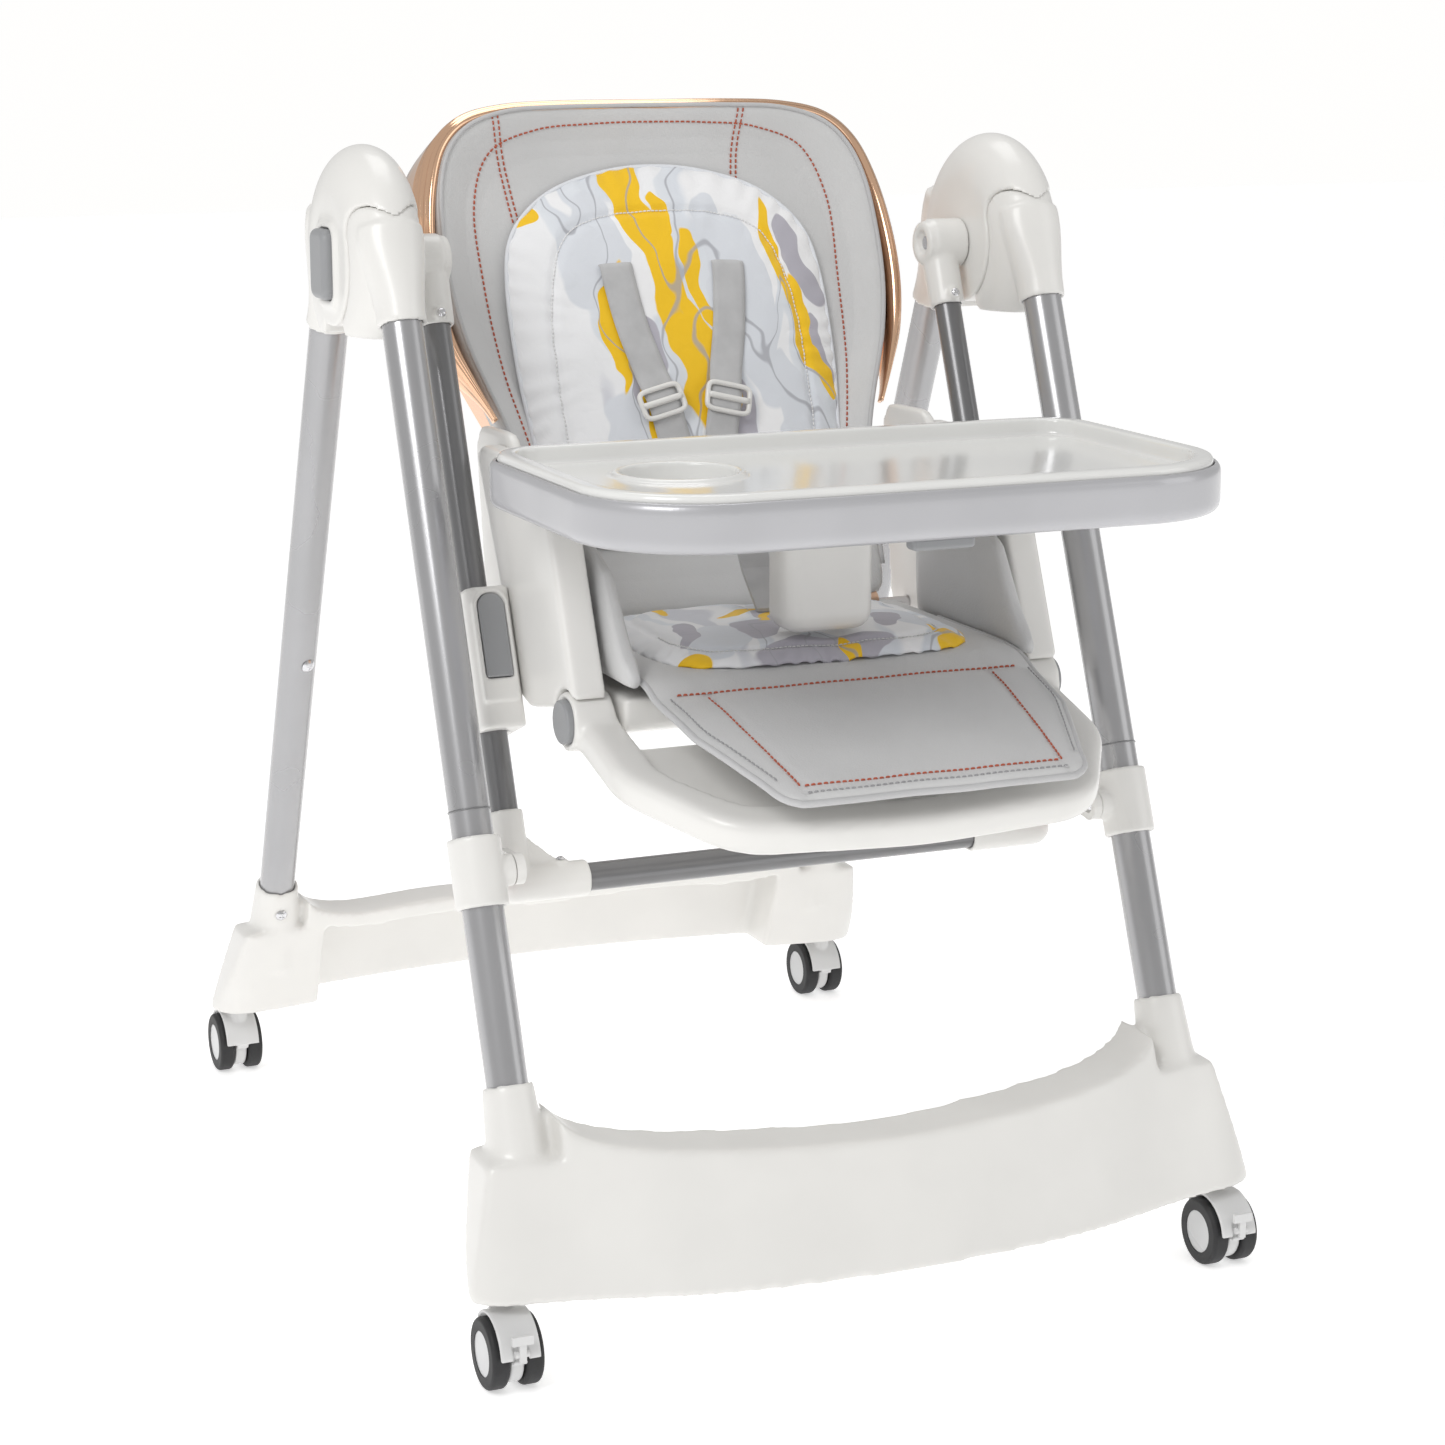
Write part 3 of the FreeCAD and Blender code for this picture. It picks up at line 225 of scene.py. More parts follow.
# ------------------------------------------------------------ materials
def new_mat(name, color, rough, metal=0.0, **kw):
    m = bpy.data.materials.new(name)
    m.use_nodes = True
    nt = m.node_tree
    b = nt.nodes["Principled BSDF"]
    b.inputs["Base Color"].default_value = (*color, 1)
    b.inputs["Roughness"].default_value = rough
    b.inputs["Metallic"].default_value = metal
    for k, v in kw.items():
        b.inputs[k.replace("_", " ")].default_value = v
    return m, nt, b


def node(nt, kind, **kw):
    n = nt.nodes.new(kind)
    for k, v in kw.items():
        if k.startswith("i_"):
            n.inputs[k[2:].replace("_", " ")].default_value = v
        else:
            setattr(n, k, v)
    return n


def coords(nt):
    return node(nt, "ShaderNodeTexCoord").outputs["Object"]


def vary(nt, b, co, color, dark, scale, lo=0.35, hi=0.65, rough=None, detail=3.0):
    """Slow colour variation and a matching change of roughness."""
    nz = node(nt, "ShaderNodeTexNoise", i_Scale=scale, i_Detail=detail)
    nt.links.new(co, nz.inputs["Vector"])
    mp = node(nt, "ShaderNodeMapRange", i_From_Min=lo, i_From_Max=hi)
    nt.links.new(nz.outputs["Fac"], mp.inputs["Value"])
    mx = node(nt, "ShaderNodeMix", data_type="RGBA")
    mx.inputs["A"].default_value = (*color, 1)
    mx.inputs["B"].default_value = (*dark, 1)
    nt.links.new(mp.outputs["Result"], mx.inputs["Factor"])
    nt.links.new(mx.outputs["Result"], b.inputs["Base Color"])
    if rough:
        rr = node(nt, "ShaderNodeMapRange", i_To_Min=rough[0], i_To_Max=rough[1])
        nt.links.new(nz.outputs["Fac"], rr.inputs["Value"])
        nt.links.new(rr.outputs["Result"], b.inputs["Roughness"])
    return mx


def add_bump(nt, b, height, strength, dist, prev=None):
    bp = node(nt, "ShaderNodeBump", i_Strength=strength, i_Distance=dist)
    nt.links.new(height, bp.inputs["Height"])
    if prev:
        nt.links.new(prev, bp.inputs["Normal"])
    nt.links.new(bp.outputs["Normal"], b.inputs["Normal"])
    return bp.outputs["Normal"]


def plastic(name, color, rough=0.3, grain=1400.0, bump=0.05, coat=0.25):
    m, nt, b = new_mat(name, color, rough)
    co = coords(nt)
    dark = tuple(c * 0.965 for c in color)
    vary(nt, b, co, color, dark, 14.0, rough=(rough * 0.88, rough * 1.15))
    nz = node(nt, "ShaderNodeTexNoise", i_Scale=grain, i_Detail=2.0)
    nt.links.new(co, nz.inputs["Vector"])
    add_bump(nt, b, nz.outputs["Fac"], bump, 0.0004)
    b.inputs["Coat Weight"].default_value = coat
    b.inputs["Coat Roughness"].default_value = 0.12
    return m


def metal_paint(name, color, rough=0.3, metal=0.55):
    m, nt, b = new_mat(name, color, rough, metal)
    co = coords(nt)
    vary(nt, b, co, color, tuple(c * 0.93 for c in color), 9.0, rough=(rough * 0.85, rough * 1.2))
    nz = node(nt, "ShaderNodeTexNoise", i_Scale=2600.0, i_Detail=1.0)
    nt.links.new(co, nz.inputs["Vector"])
    add_bump(nt, b, nz.outputs["Fac"], 0.04, 0.0002)
    b.inputs["Coat Weight"].default_value = 0.5
    b.inputs["Coat Roughness"].default_value = 0.1
    return m


def leatherette(name, color):
    m, nt, b = new_mat(name, color, 0.52)
    co = coords(nt)
    vary(nt, b, co, color, tuple(c * 0.94 for c in color), 10.0, rough=(0.46, 0.6))
    vo = node(nt, "ShaderNodeTexVoronoi", feature="SMOOTH_F1", i_Scale=820.0, i_Randomness=0.9)
    nt.links.new(co, vo.inputs["Vector"])
    n1 = add_bump(nt, b, vo.outputs["Distance"], 0.34, 0.0005)
    nz = node(nt, "ShaderNodeTexNoise", i_Scale=210.0, i_Detail=5.0)
    nt.links.new(co, nz.inputs["Vector"])
    n2 = add_bump(nt, b, nz.outputs["Fac"], 0.16, 0.0012, n1)
    nw = node(nt, "ShaderNodeTexNoise", i_Scale=26.0, i_Detail=2.0)
    nt.links.new(co, nw.inputs["Vector"])
    add_bump(nt, b, nw.outputs["Fac"], 0.18, 0.004, n2)
    b.inputs["Sheen Weight"].default_value = 0.12
    b.inputs["Specular IOR Level"].default_value = 0.4
    return m


def webbing_mat(name, color):
    m, nt, b = new_mat(name, color, 0.7)
    co = coords(nt)
    vary(nt, b, co, color, tuple(c * 0.9 for c in color), 60.0)
    w1 = node(nt, "ShaderNodeTexWave", wave_type="BANDS", bands_direction="DIAGONAL", i_Scale=420.0, i_Distortion=1.2, i_Detail=1.0)
    nt.links.new(co, w1.inputs["Vector"])
    n1 = add_bump(nt, b, w1.outputs["Fac"], 0.3, 0.0005)
    nz = node(nt, "ShaderNodeTexNoise", i_Scale=1500.0, i_Detail=2.0)
    nt.links.new(co, nz.inputs["Vector"])
    add_bump(nt, b, nz.outputs["Fac"], 0.2, 0.0003, n1)
    b.inputs["Sheen Weight"].default_value = 0.3
    return m


def plated(name, color, rough):
    m, nt, b = new_mat(name, color, rough, 1.0)
    co = coords(nt)
    vary(nt, b, co, color, tuple(c * 0.9 for c in color), 12.0, rough=(rough * 0.7, rough * 1.5))
    nz = node(nt, "ShaderNodeTexNoise", i_Scale=45.0, i_Detail=1.0)
    nt.links.new(co, nz.inputs["Vector"])
    add_bump(nt, b, nz.outputs["Fac"], 0.03, 0.002)
    return m


def rubber(name, color):
    m, nt, b = new_mat(name, color, 0.55)
    co = coords(nt)
    vary(nt, b, co, color, tuple(c * 1.9 for c in color), 90.0, rough=(0.45, 0.7))
    nz = node(nt, "ShaderNodeTexNoise", i_Scale=900.0, i_Detail=3.0)
    nt.links.new(co, nz.inputs["Vector"])
    add_bump(nt, b, nz.outputs["Fac"], 0.25, 0.0004)
    return m


# streaks: (centre u, centre v, half length, half width, angle from the v axis in degrees)
def print_fabric(name, yellow, grey, pale):
    """Marbled cotton print in the flat coordinates stored on the mesh."""
    m, nt, b = new_mat(name, (0.9, 0.9, 0.91), 0.62)
    at = node(nt, "ShaderNodeAttribute", attribute_name="flat")
    co = at.outputs["Vector"]
    wn = node(nt, "ShaderNodeTexNoise", i_Scale=11.0, i_Detail=2.5, i_Roughness=0.5)
    nt.links.new(co, wn.inputs["Vector"])
    sub = node(nt, "ShaderNodeVectorMath", operation="SUBTRACT")
    sub.inputs[1].default_value = (0.5, 0.5, 0.5)
    nt.links.new(wn.outputs["Color"], sub.inputs[0])
    sc = node(nt, "ShaderNodeVectorMath", operation="MULTIPLY")
    sc.inputs[1].default_value = (0.085, 0.06, 0.0)
    nt.links.new(sub.outputs[0], sc.inputs[0])
    warp = node(nt, "ShaderNodeVectorMath", operation="ADD")
    nt.links.new(co, warp.inputs[0])
    nt.links.new(sc.outputs[0], warp.inputs[1])
    wv = warp.outputs[0]
    # broad pale blue-grey bands, longer down the cushion than across it
    st = node(nt, "ShaderNodeVectorMath", operation="MULTIPLY")
    st.inputs[1].default_value = (13.0, 3.4, 1.0)
    nt.links.new(wv, st.inputs[0])
    bn = node(nt, "ShaderNodeTexNoise", i_Scale=1.0, i_Detail=1.5, i_Roughness=0.45, i_Distortion=0.7)
    nt.links.new(st.outputs[0], bn.inputs["Vector"])
    ramp = node(nt, "ShaderNodeValToRGB")
    cr = ramp.color_ramp
    cr.elements[0].position = 0.0
    cr.elements[0].color = (0.90, 0.90, 0.91, 1)
    cr.elements[1].position = 1.0
    cr.elements[1].color = (0.62, 0.65, 0.70, 1)
    for pos, c in ((0.455, (0.90, 0.90, 0.91)), (0.47, (0.71, 0.74, 0.79)), (0.56, (0.76, 0.79, 0.83)), (0.575, (0.88, 0.885, 0.90)), (0.64, (0.87, 0.875, 0.89)), (0.655, (0.66, 0.67, 0.72))):
        e = cr.elements.new(pos)
        e.color = (*c, 1)
    nt.links.new(bn.outputs["Fac"], ramp.inputs["Fac"])
    colour = ramp.outputs["Color"]

    def blobs(colour, items, rgb, soft=0.05):
        for (u, v, hl, hw, ang) in items:
            mp = node(nt, "ShaderNodeMapping", vector_type="TEXTURE")
            mp.inputs["Location"].default_value = (u * MM, v * MM, 0)
            mp.inputs["Rotation"].default_value = (0, 0, math.radians(ang))
            mp.inputs["Scale"].default_value = (hw * MM, hl * MM, 1)
            nt.links.new(wv, mp.inputs["Vector"])
            gr = node(nt, "ShaderNodeTexGradient", gradient_type="SPHERICAL")
            nt.links.new(mp.outputs["Vector"], gr.inputs["Vector"])
            th = node(nt, "ShaderNodeMapRange", i_From_Min=0.005, i_From_Max=soft)
            nt.links.new(gr.outputs["Fac"], th.inputs["Value"])
            mx = node(nt, "ShaderNodeMix", data_type="RGBA")
            nt.links.new(th.outputs["Result"], mx.inputs["Factor"])
            nt.links.new(colour, mx.inputs["A"])
            mx.inputs["B"].default_value = (*rgb, 1)
            colour = mx.outputs["Result"]
        return colour

    colour = blobs(colour, pale, (0.72, 0.745, 0.79))
    colour = blobs(colour, grey, (0.47, 0.455, 0.51))
    colour = blobs(colour, yellow, (0.93, 0.57, 0.012))
    # thin grey veins along contours of the warped field
    v1 = node(nt, "ShaderNodeMath", operation="MULTIPLY")
    v1.inputs[1].default_value = 5.0
    nt.links.new(bn.outputs["Fac"], v1.inputs[0])
    v2 = node(nt, "ShaderNodeMath", operation="FRACT")
    nt.links.new(v1.outputs[0], v2.inputs[0])
    v3 = node(nt, "ShaderNodeMath", operation="SUBTRACT")
    v3.inputs[1].default_value = 0.5
    nt.links.new(v2.outputs[0], v3.inputs[0])
    v4 = node(nt, "ShaderNodeMath", operation="ABSOLUTE")
    nt.links.new(v3.outputs[0], v4.inputs[0])
    v5 = node(nt, "ShaderNodeMapRange", i_From_Min=0.012, i_From_Max=0.034, i_To_Min=0.75, i_To_Max=0.0)
    nt.links.new(v4.outputs[0], v5.inputs["Value"])
    vm = node(nt, "ShaderNodeMix", data_type="RGBA")
    nt.links.new(v5.outputs["Result"], vm.inputs["Factor"])
    nt.links.new(colour, vm.inputs["A"])
    vm.inputs["B"].default_value = (0.38, 0.385, 0.42, 1)
    nt.links.new(vm.outputs["Result"], b.inputs["Base Color"])
    oc = coords(nt)
    wr = node(nt, "ShaderNodeTexNoise", i_Scale=55.0, i_Detail=3.0, i_Distortion=0.8)
    nt.links.new(oc, wr.inputs["Vector"])
    n1 = add_bump(nt, b, wr.outputs["Fac"], 0.3, 0.003)
    wf = node(nt, "ShaderNodeTexWave", wave_type="BANDS", bands_direction="DIAGONAL", i_Scale=700.0, i_Distortion=0.6)
    nt.links.new(oc, wf.inputs["Vector"])
    add_bump(nt, b, wf.outputs["Fac"], 0.12, 0.0003, n1)
    b.inputs["Sheen Weight"].default_value = 0.2
    b.inputs["Specular IOR Level"].default_value = 0.35
    return m


WHITE = plastic("m_white_plastic", (0.80, 0.79, 0.765), 0.32)
WHITE_GLOSS = plastic("m_white_gloss", (0.80, 0.80, 0.785), 0.16, bump=0.02, coat=0.6)
CASTER = plastic("m_caster_plastic", (0.68, 0.68, 0.68), 0.3)
WHEEL = plastic("m_wheel_disc", (0.60, 0.605, 0.61), 0.28)
SILVER = metal_paint("m_tray_silver", (0.50, 0.50, 0.52), 0.33, 0.35)
LEG = metal_paint("m_leg_paint", (0.42, 0.42, 0.43), 0.26, 0.6)
SWING = metal_paint("m_swing_paint", (0.20, 0.20, 0.205), 0.3, 0.55)
PU = leatherette("m_leatherette", (0.63, 0.63, 0.63))
PIPING = leatherette("m_piping", (0.54, 0.54, 0.545))
ROSE = plated("m_rose_gold", (0.93, 0.60, 0.40), 0.09)
SHELLM = plated("m_rose_shell", (0.86, 0.58, 0.42), 0.2)
CHROME = plated("m_screw_chrome", (0.75, 0.75, 0.77), 0.18)
GREYB = plastic("m_button_grey", (0.30, 0.305, 0.315), 0.45, bump=0.14, coat=0.05)
RED = plastic("m_tab_red", (0.60, 0.03, 0.03), 0.35)
TYRE = rubber("m_tyre", (0.012, 0.012, 0.013))
WEB = webbing_mat("m_webbing", (0.54, 0.54, 0.545))
THREAD = webbing_mat("m_thread_red", (0.50, 0.10, 0.045))
THREAD_G = webbing_mat("m_thread_grey", (0.33, 0.33, 0.34))
THREAD_W = webbing_mat("m_thread_white", (0.85, 0.85, 0.85))
# near-black painted shade for recesses and openings, not a colour of the plastic; not assigned to any part
RECESS_SHADE = plastic("m_painted_recess_shade", (0.05, 0.05, 0.05), 0.6)

BACK_YELLOW = [(-22, 330, 62, 15, 12), (-8, 262, 70, 17, 5), (10, 205, 62, 22, 14), (0, 318, 16, 6, 0), (22, 268, 42, 9, 12), (-112, 330, 10, 13, 40), (-56, 235, 60, 8, -4), (-44, 196, 30, 6, 10),
               (92, 292, 44, 8, 14), (112, 236, 46, 9, 8), (122, 196, 24, 8, 0), (-38, 148, 26, 6, 0)]
BACK_GREY = [(-40, 205, 46, 20, 6), (118, 290, 40, 14, 24), (34, 150, 50, 16, 6), (-30, 155, 34, 14, -4), (124, 214, 34, 9, 4)]
BACK_PALE = [(-66, 300, 50, 26, -10), (60, 240, 80, 22, 4), (-60, 120, 60, 24, 0), (86, 150, 60, 20, 0), (40, 300, 34, 14, 20)]
SEAT_YELLOW = [(-112, 180, 17, 22, 60), (106, 172, 16, 24, -30), (118, 150, 26, 9, -35), (92, 160, 22, 8, -40), (12, 186, 26, 4, 10), (-24, 62, 30, 5, 60), (-12, 80, 26, 4, 55), (-60, 20, 34, 6, 10)]
SEAT_GREY = [(-10, 176, 60, 16, 84), (-34, 120, 44, 18, 30), (-10, 90, 40, 18, 12), (-96, 110, 40, 10, 30), (62, 130, 30, 9, 20)]
SEAT_PALE = [(-80, 140, 44, 26, 30), (80, 120, 40, 26, -20), (0, 60, 60, 20, 10)]
PRINT_B = print_fabric("m_print_back", BACK_YELLOW, BACK_GREY, BACK_PALE)
PRINT_S = print_fabric("m_print_seat", SEAT_YELLOW, SEAT_GREY, SEAT_PALE)

BYNODE = {}
for n_ in NODES:
    if n_.startswith(("front_legs", "rear_legs")):
        BYNODE[n_] = LEG
    elif n_ in ("swing_tubes", "crossbar"):
        BYNODE[n_] = SWING
    elif n_.endswith("_screws") or n_ in ("hub_hinge_pins", "recline_pin"):
        BYNODE[n_] = CHROME
    elif n_.startswith("caster_tyres"):
        BYNODE[n_] = TYRE
    elif n_.startswith("caster_wheels"):
        BYNODE[n_] = WHEEL
    elif n_.startswith(("caster_hood", "brake_tab")):
        BYNODE[n_] = CASTER
    elif n_.startswith("lock_tab"):
        BYNODE[n_] = RED
    elif "button" in n_ or n_ in ("recline_handle", "tray_release"):
        BYNODE[n_] = GREYB
    elif n_ == "tray_base":
        BYNODE[n_] = SILVER
    elif n_ == "tray_top":
        BYNODE[n_] = WHITE_GLOSS
    elif n_ == "backrest_trim":
        BYNODE[n_] = ROSE
    elif n_ == "backrest_shell":
        BYNODE[n_] = SHELLM
    elif n_ in ("shoulder_straps", "crotch_strap"):
        BYNODE[n_] = WEB
    elif n_.startswith("pad_"):
        BYNODE[n_] = PU
    elif n_.startswith("cushion_"):
        BYNODE[n_] = PRINT_B
    else:
        BYNODE[n_] = WHITE
for n_, o_ in NODES.items():
    if not o_.data.materials:
        o_.data.materials.append(BYNODE[n_])
    for sl in o_.material_slots:
        sl.material = BYNODE[n_]


# ------------------------------------------------------------ moulded shells: rounded copies of the CAD nodes
def moulded(name, voxel, iters, mat=None, factor=0.5):
    src = NODES[name]
    me = src.data.copy()
    me.name = "moulded_" + name
    bm = bmesh.new()
    bm.from_mesh(me)
    bmesh.ops.remove_doubles(bm, verts=bm.verts, dist=1e-6)
    bm.to_mesh(me)
    bm.free()
    o = bpy.data.objects.new("moulded_" + name, me)
    COL.objects.link(o)
    r = o.modifiers.new("r", "REMESH")
    r.mode = "VOXEL"
    r.voxel_size = voxel * 1.0
    s = o.modifiers.new("s", "SMOOTH")
    s.factor = factor
    s.iterations = iters
    bake_mods(o)
    o.data.materials.clear()
    o.data.materials.append(mat or BYNODE[name])
    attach(o, BODY[name])
    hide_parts(name)
    return o


for n_, vx, it in (("front_beam", 0.0026, 14), ("rear_beam", 0.0026, 14), ("hub_housings", 0.0018, 6), ("front_sockets", 0.0018, 5),
                   ("swing_tees", 0.0014, 5), ("corner_brackets", 0.0014, 6), ("leg_sleeves", 0.0014, 4), ("side_panels", 0.0018, 9),
                   ("height_sliders", 0.0015, 5), ("seat_shell", 0.0024, 5), ("legrest_frame", 0.0022, 14), ("tray_underframe", 0.002, 8)):
    moulded(n_, vx, it)
moulded("tray_base", 0.0018, 8)
moulded("tray_top", 0.0016, 6)
for t_ in ("fl", "fr", "rl", "rr"):
    moulded("caster_hood_" + t_, 0.0009, 5)


# ------------------------------------------------------------ soft parts and trim
def mirror_outline(half):
    return [(x, s) for x, s in half] + [(-x, s) for x, s in reversed(half) if abs(x) > 1e-6]


class Polar:
    """Closed outline about a centre as radius against angle."""
    def __init__(self, pts, c):
        P = spline(pts, 360, closed=True)
        d = P - np.array(c)
        a = np.arctan2(d[:, 1], d[:, 0])
        o = np.argsort(a)
        self.a = np.concatenate([a[o] - 2 * math.pi, a[o], a[o] + 2 * math.pi])
        r = np.linalg.norm(d, axis=1)[o]
        self.r = np.concatenate([r, r, r])
        self.c = np.array(c, float)

    def R(self, ang):
        return float(np.interp(ang, self.a, self.r))

    def q(self, x, s):
        d = np.array([x, s]) - self.c
        return float(np.linalg.norm(d)) / self.R(math.atan2(d[1], d[0]))

    def at(self, ang, q):
        return self.c + np.array([math.cos(ang), math.sin(ang)]) * self.R(ang) * q


def pillow(name, pol, front, back, place, mat, nu=240, qs=None, seat=False):
    """Closed pad: front(q, ang, x, s) and back(q) are heights, place(x, s, h) gives metres."""
    qs = qs or list(1 - (1 - np.linspace(0.03, 1, 46)) ** 1.0)
    verts, flat, faces = [], [], []
    for side in (0, 1):
        for q in (qs if side == 0 else list(reversed(qs))[1:]):
            for i in range(nu):
                a = 2 * math.pi * i / nu - math.pi
                x, s = pol.at(a, q)
                h = front(q, a, x, s) if side == 0 else back(q)
                verts.append(place(x, s, h))
                flat.append((x * MM, s * MM, 0))
    rings = len(verts) // nu
    faces = grid_faces(nu, rings, True)
    faces.append(tuple(range(nu)))
    faces.append(tuple(range((rings - 1) * nu, rings * nu)))
    o = mesh_obj(name, verts, faces, mat)
    at = o.data.attributes.new("flat", "FLOAT_VECTOR", "POINT")
    at.data.foreach_set("vector", np.array(flat, dtype=np.float32).ravel())
    return o


def finish_piece(o, body, nodes=()):
    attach(o, body)
    if nodes:
        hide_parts(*nodes)
    return o


# rose-gold band round the backrest
HALF = [(0, 421), (70, 421), (120, 418.5), (157, 409), (182, 386), (196, 350), (203, 305), (203, 262), (196, 222), (184, 190), (170, 158)]
rim = spline([(-x, s) for x, s in reversed(HALF)] + HALF[1:], 320)
tan = np.gradient(rim, axis=0)
tan /= np.linalg.norm(tan, axis=1)[:, None]
inw = np.stack([tan[:, 1], -tan[:, 0]], axis=1)
sec = [(13.5, -66), (2.0, -70), (0.2, -66), (0, -50), (0, -34), (0.2, -24)]
for k in range(30):
    w_ = -20 + k * 0.9
    o_ = max(0.0, (w_ + 4) * 0.62) ** 1.0
    sec.append((o_ + 0.75 * (1 - math.cos(k / 5.0 * 2 * math.pi)), w_))
sec += [(10, 6.0), (12.5, 4.0), (14, 0), (14.5, -20), (14.5, -50)]
verts = []
for i in range(len(rim)):
    f = min(i, len(rim) - 1 - i) / 40.0
    k = smooth01(f)
    top = smooth01((rim[i][1] - 360) / 60.0)
    depth = (0.12 + 0.88 * k) * (1 - 0.45 * top)
    for o_, w_ in sec:
        ww = 6 + (w_ - 6) * depth + 4 * (1 - k)
        oo = 7.5 + (o_ - 7.5) * (0.18 + 0.82 * k) * (1 - 0.3 * top)
        p = rim[i] + inw[i] * (oo if top < .01 else oo * 1.0)
        verts.append(bk(p[0], p[1], ww))
fs = grid_faces(len(sec), len(rim), True)
fs += [tuple(range(len(sec))), tuple(range((len(rim) - 1) * len(sec), len(rim) * len(sec)))]
trim = finish_piece(mesh_obj("trim_band", verts, fs, ROSE), "backrest", ("backrest_trim",))

# leatherette cover of the back, dished inside its rim
COVER = mirror_outline([(0, 417), (70, 416.5), (118, 414), (153, 403), (174, 382), (185, 350), (188.5, 305), (187, 262), (180, 222), (170, 190), (160, 160), (152, 128), (149, 90), (147, 40), (144, 12), (120, 4), (60, 3), (0, 3)])
CP = Polar(COVER, (0, 215))


def cover_w(q):
    return float(np.interp(q, [0, 0.72, 0.80, 0.86, 0.91, 0.945, 0.97, 0.985, 0.995, 1.0], [-13, -13, -11.6, -7.5, -1.5, 2.6, 4.4, 4.0, 1.5, -3]))


def cover_front(q, a, x, s):
    w = cover_w(q)
    if s < 130:
        w += (cover_w(min(q, 0.8)) - w) * 0.45 * smooth01((130 - s) / 80)
    w += 0.5 * noise.noise(Vector((x / 34, s / 46, 2.0)))
    return w


qs = list(np.linspace(0.03, 0.7, 14)) + list(np.linspace(0.72, 1.0, 44))
cover = pillow("back_cover", CP, cover_front, lambda q: float(np.interp(q, [0, .9, 1], [-30, -26, -16])), bk, PU, qs=qs)
finish_piece(cover, "backrest", ("pad_back",))


def on_cover(pts, n=200):
    P = spline(pts, n)
    return [bk(x, s, cover_front(CP.q(x, s), 0, x, s) + 0.15) for x, s in P], [FW] * n


for nm, pts in (("stitch_arch", [(-134, 140), (-146, 205), (-151, 275), (-151, 335), (-134, 378), (-95, 395), (-50, 399), (0, 400), (50, 399), (95, 395), (134, 378), (151, 335), (151, 275), (146, 205), (134, 140)]),
                ("stitch_l1", [(-131, 408), (-125, 366), (-119, 320)]), ("stitch_l2", [(-126.5, 408.5), (-120.5, 366), (-114.5, 320)]),
                ("stitch_r1", [(79, 411), (73, 375), (68, 335)]), ("stitch_r2", [(83.5, 411), (77.5, 375), (72.5, 335)])):
    P, Nn = on_cover(pts, 260)
    finish_piece(stitches(nm, P, Nn, THREAD, r=0.75), "backrest")

edge = [bk(*CP.at(a, 0.975), cover_w(0.975) + 0.6) for a in np.linspace(-math.pi, math.pi, 300)[:-1] if CP.at(a, 1)[1] > 20]
edge_i = [i for i, p in enumerate(edge)]
st = [i for i in range(1, len(edge)) if np.linalg.norm(np.array(edge[i]) - np.array(edge[i - 1])) > 0.03]
if st:
    edge = edge[st[0]:] + edge[:st[0]]
finish_piece(tube("cover_piping", edge, 1.9 * MM, PIPING), "backrest")

# printed back cushion
CU = mirror_outline([(0, 366), (45, 361), (90, 345), (122, 315), (133, 275), (134, 205), (129, 143), (126, 100), (118, 70), (90, 63), (0, 62)])
UP_ = Polar(CU, (0, 215))
SEAM = Polar(mirror_outline([(0, 326), (57, 321), (88, 300), (103, 245), (105, 180), (103, 110), (92, 92), (0, 88)]), (0, 215))


def cush_front(q, a, x, s):
    k = max(0.0, 1 - q ** 3.2)
    w = -8.5 + 15.5 * k ** 0.62
    e = (SEAM.q(x, s) - 1.0) / 0.035
    w -= 2.6 * math.exp(-e * e)
    w += 1.3 * math.sin(a * 46 + 2 * math.sin(a * 7)) * math.exp(-((1 - q) / 0.075)) * (1 - 0.3 * math.sin(a * 5))
    w += 0.7 * math.sin(a * 38 + 1.5 * math.sin(a * 9)) * math.exp(-abs(e) / 2.2)
    w += 1.7 * noise.noise(Vector((x / 30, s / 38, 5.0))) * min(1.0, (1 - q) * 6)
    return w


qs2 = list(np.linspace(0.03, 0.6, 16)) + list(np.linspace(0.62, 1.0, 52))
cb = pillow("back_cushion", UP_, cush_front, lambda q: float(np.interp(q, [0, .94, 1], [-12.6, -12.6, -8.6])), bk, PRINT_B, qs=qs2, nu=420)
finish_piece(cb, "backrest", ("cushion_back",))
sp = spline([(-103, 110), (-105, 180), (-103, 245), (-88, 300), (-57, 321), (0, 326), (57, 321), (88, 300), (103, 245), (105, 180), (103, 110)], 300)
finish_piece(stitches("seam_back", [bk(x, s, cush_front(UP_.q(x, s), math.atan2(s - 215, x), x, s) + 0.3) for x, s in sp], [FW] * 300, THREAD_W, pitch=3.4, length=2.9, r=0.6), "backrest")
hem = []
for a in np.linspace(-math.pi, math.pi, 420)[:-1]:
    x, s = UP_.at(a, 1.0)
    hem.append(bk(x, s, -8.5))
finish_piece(tube("back_cushion_piping", hem, 1.7 * MM, PRINT_B, closed=True, sides=8), "backrest")

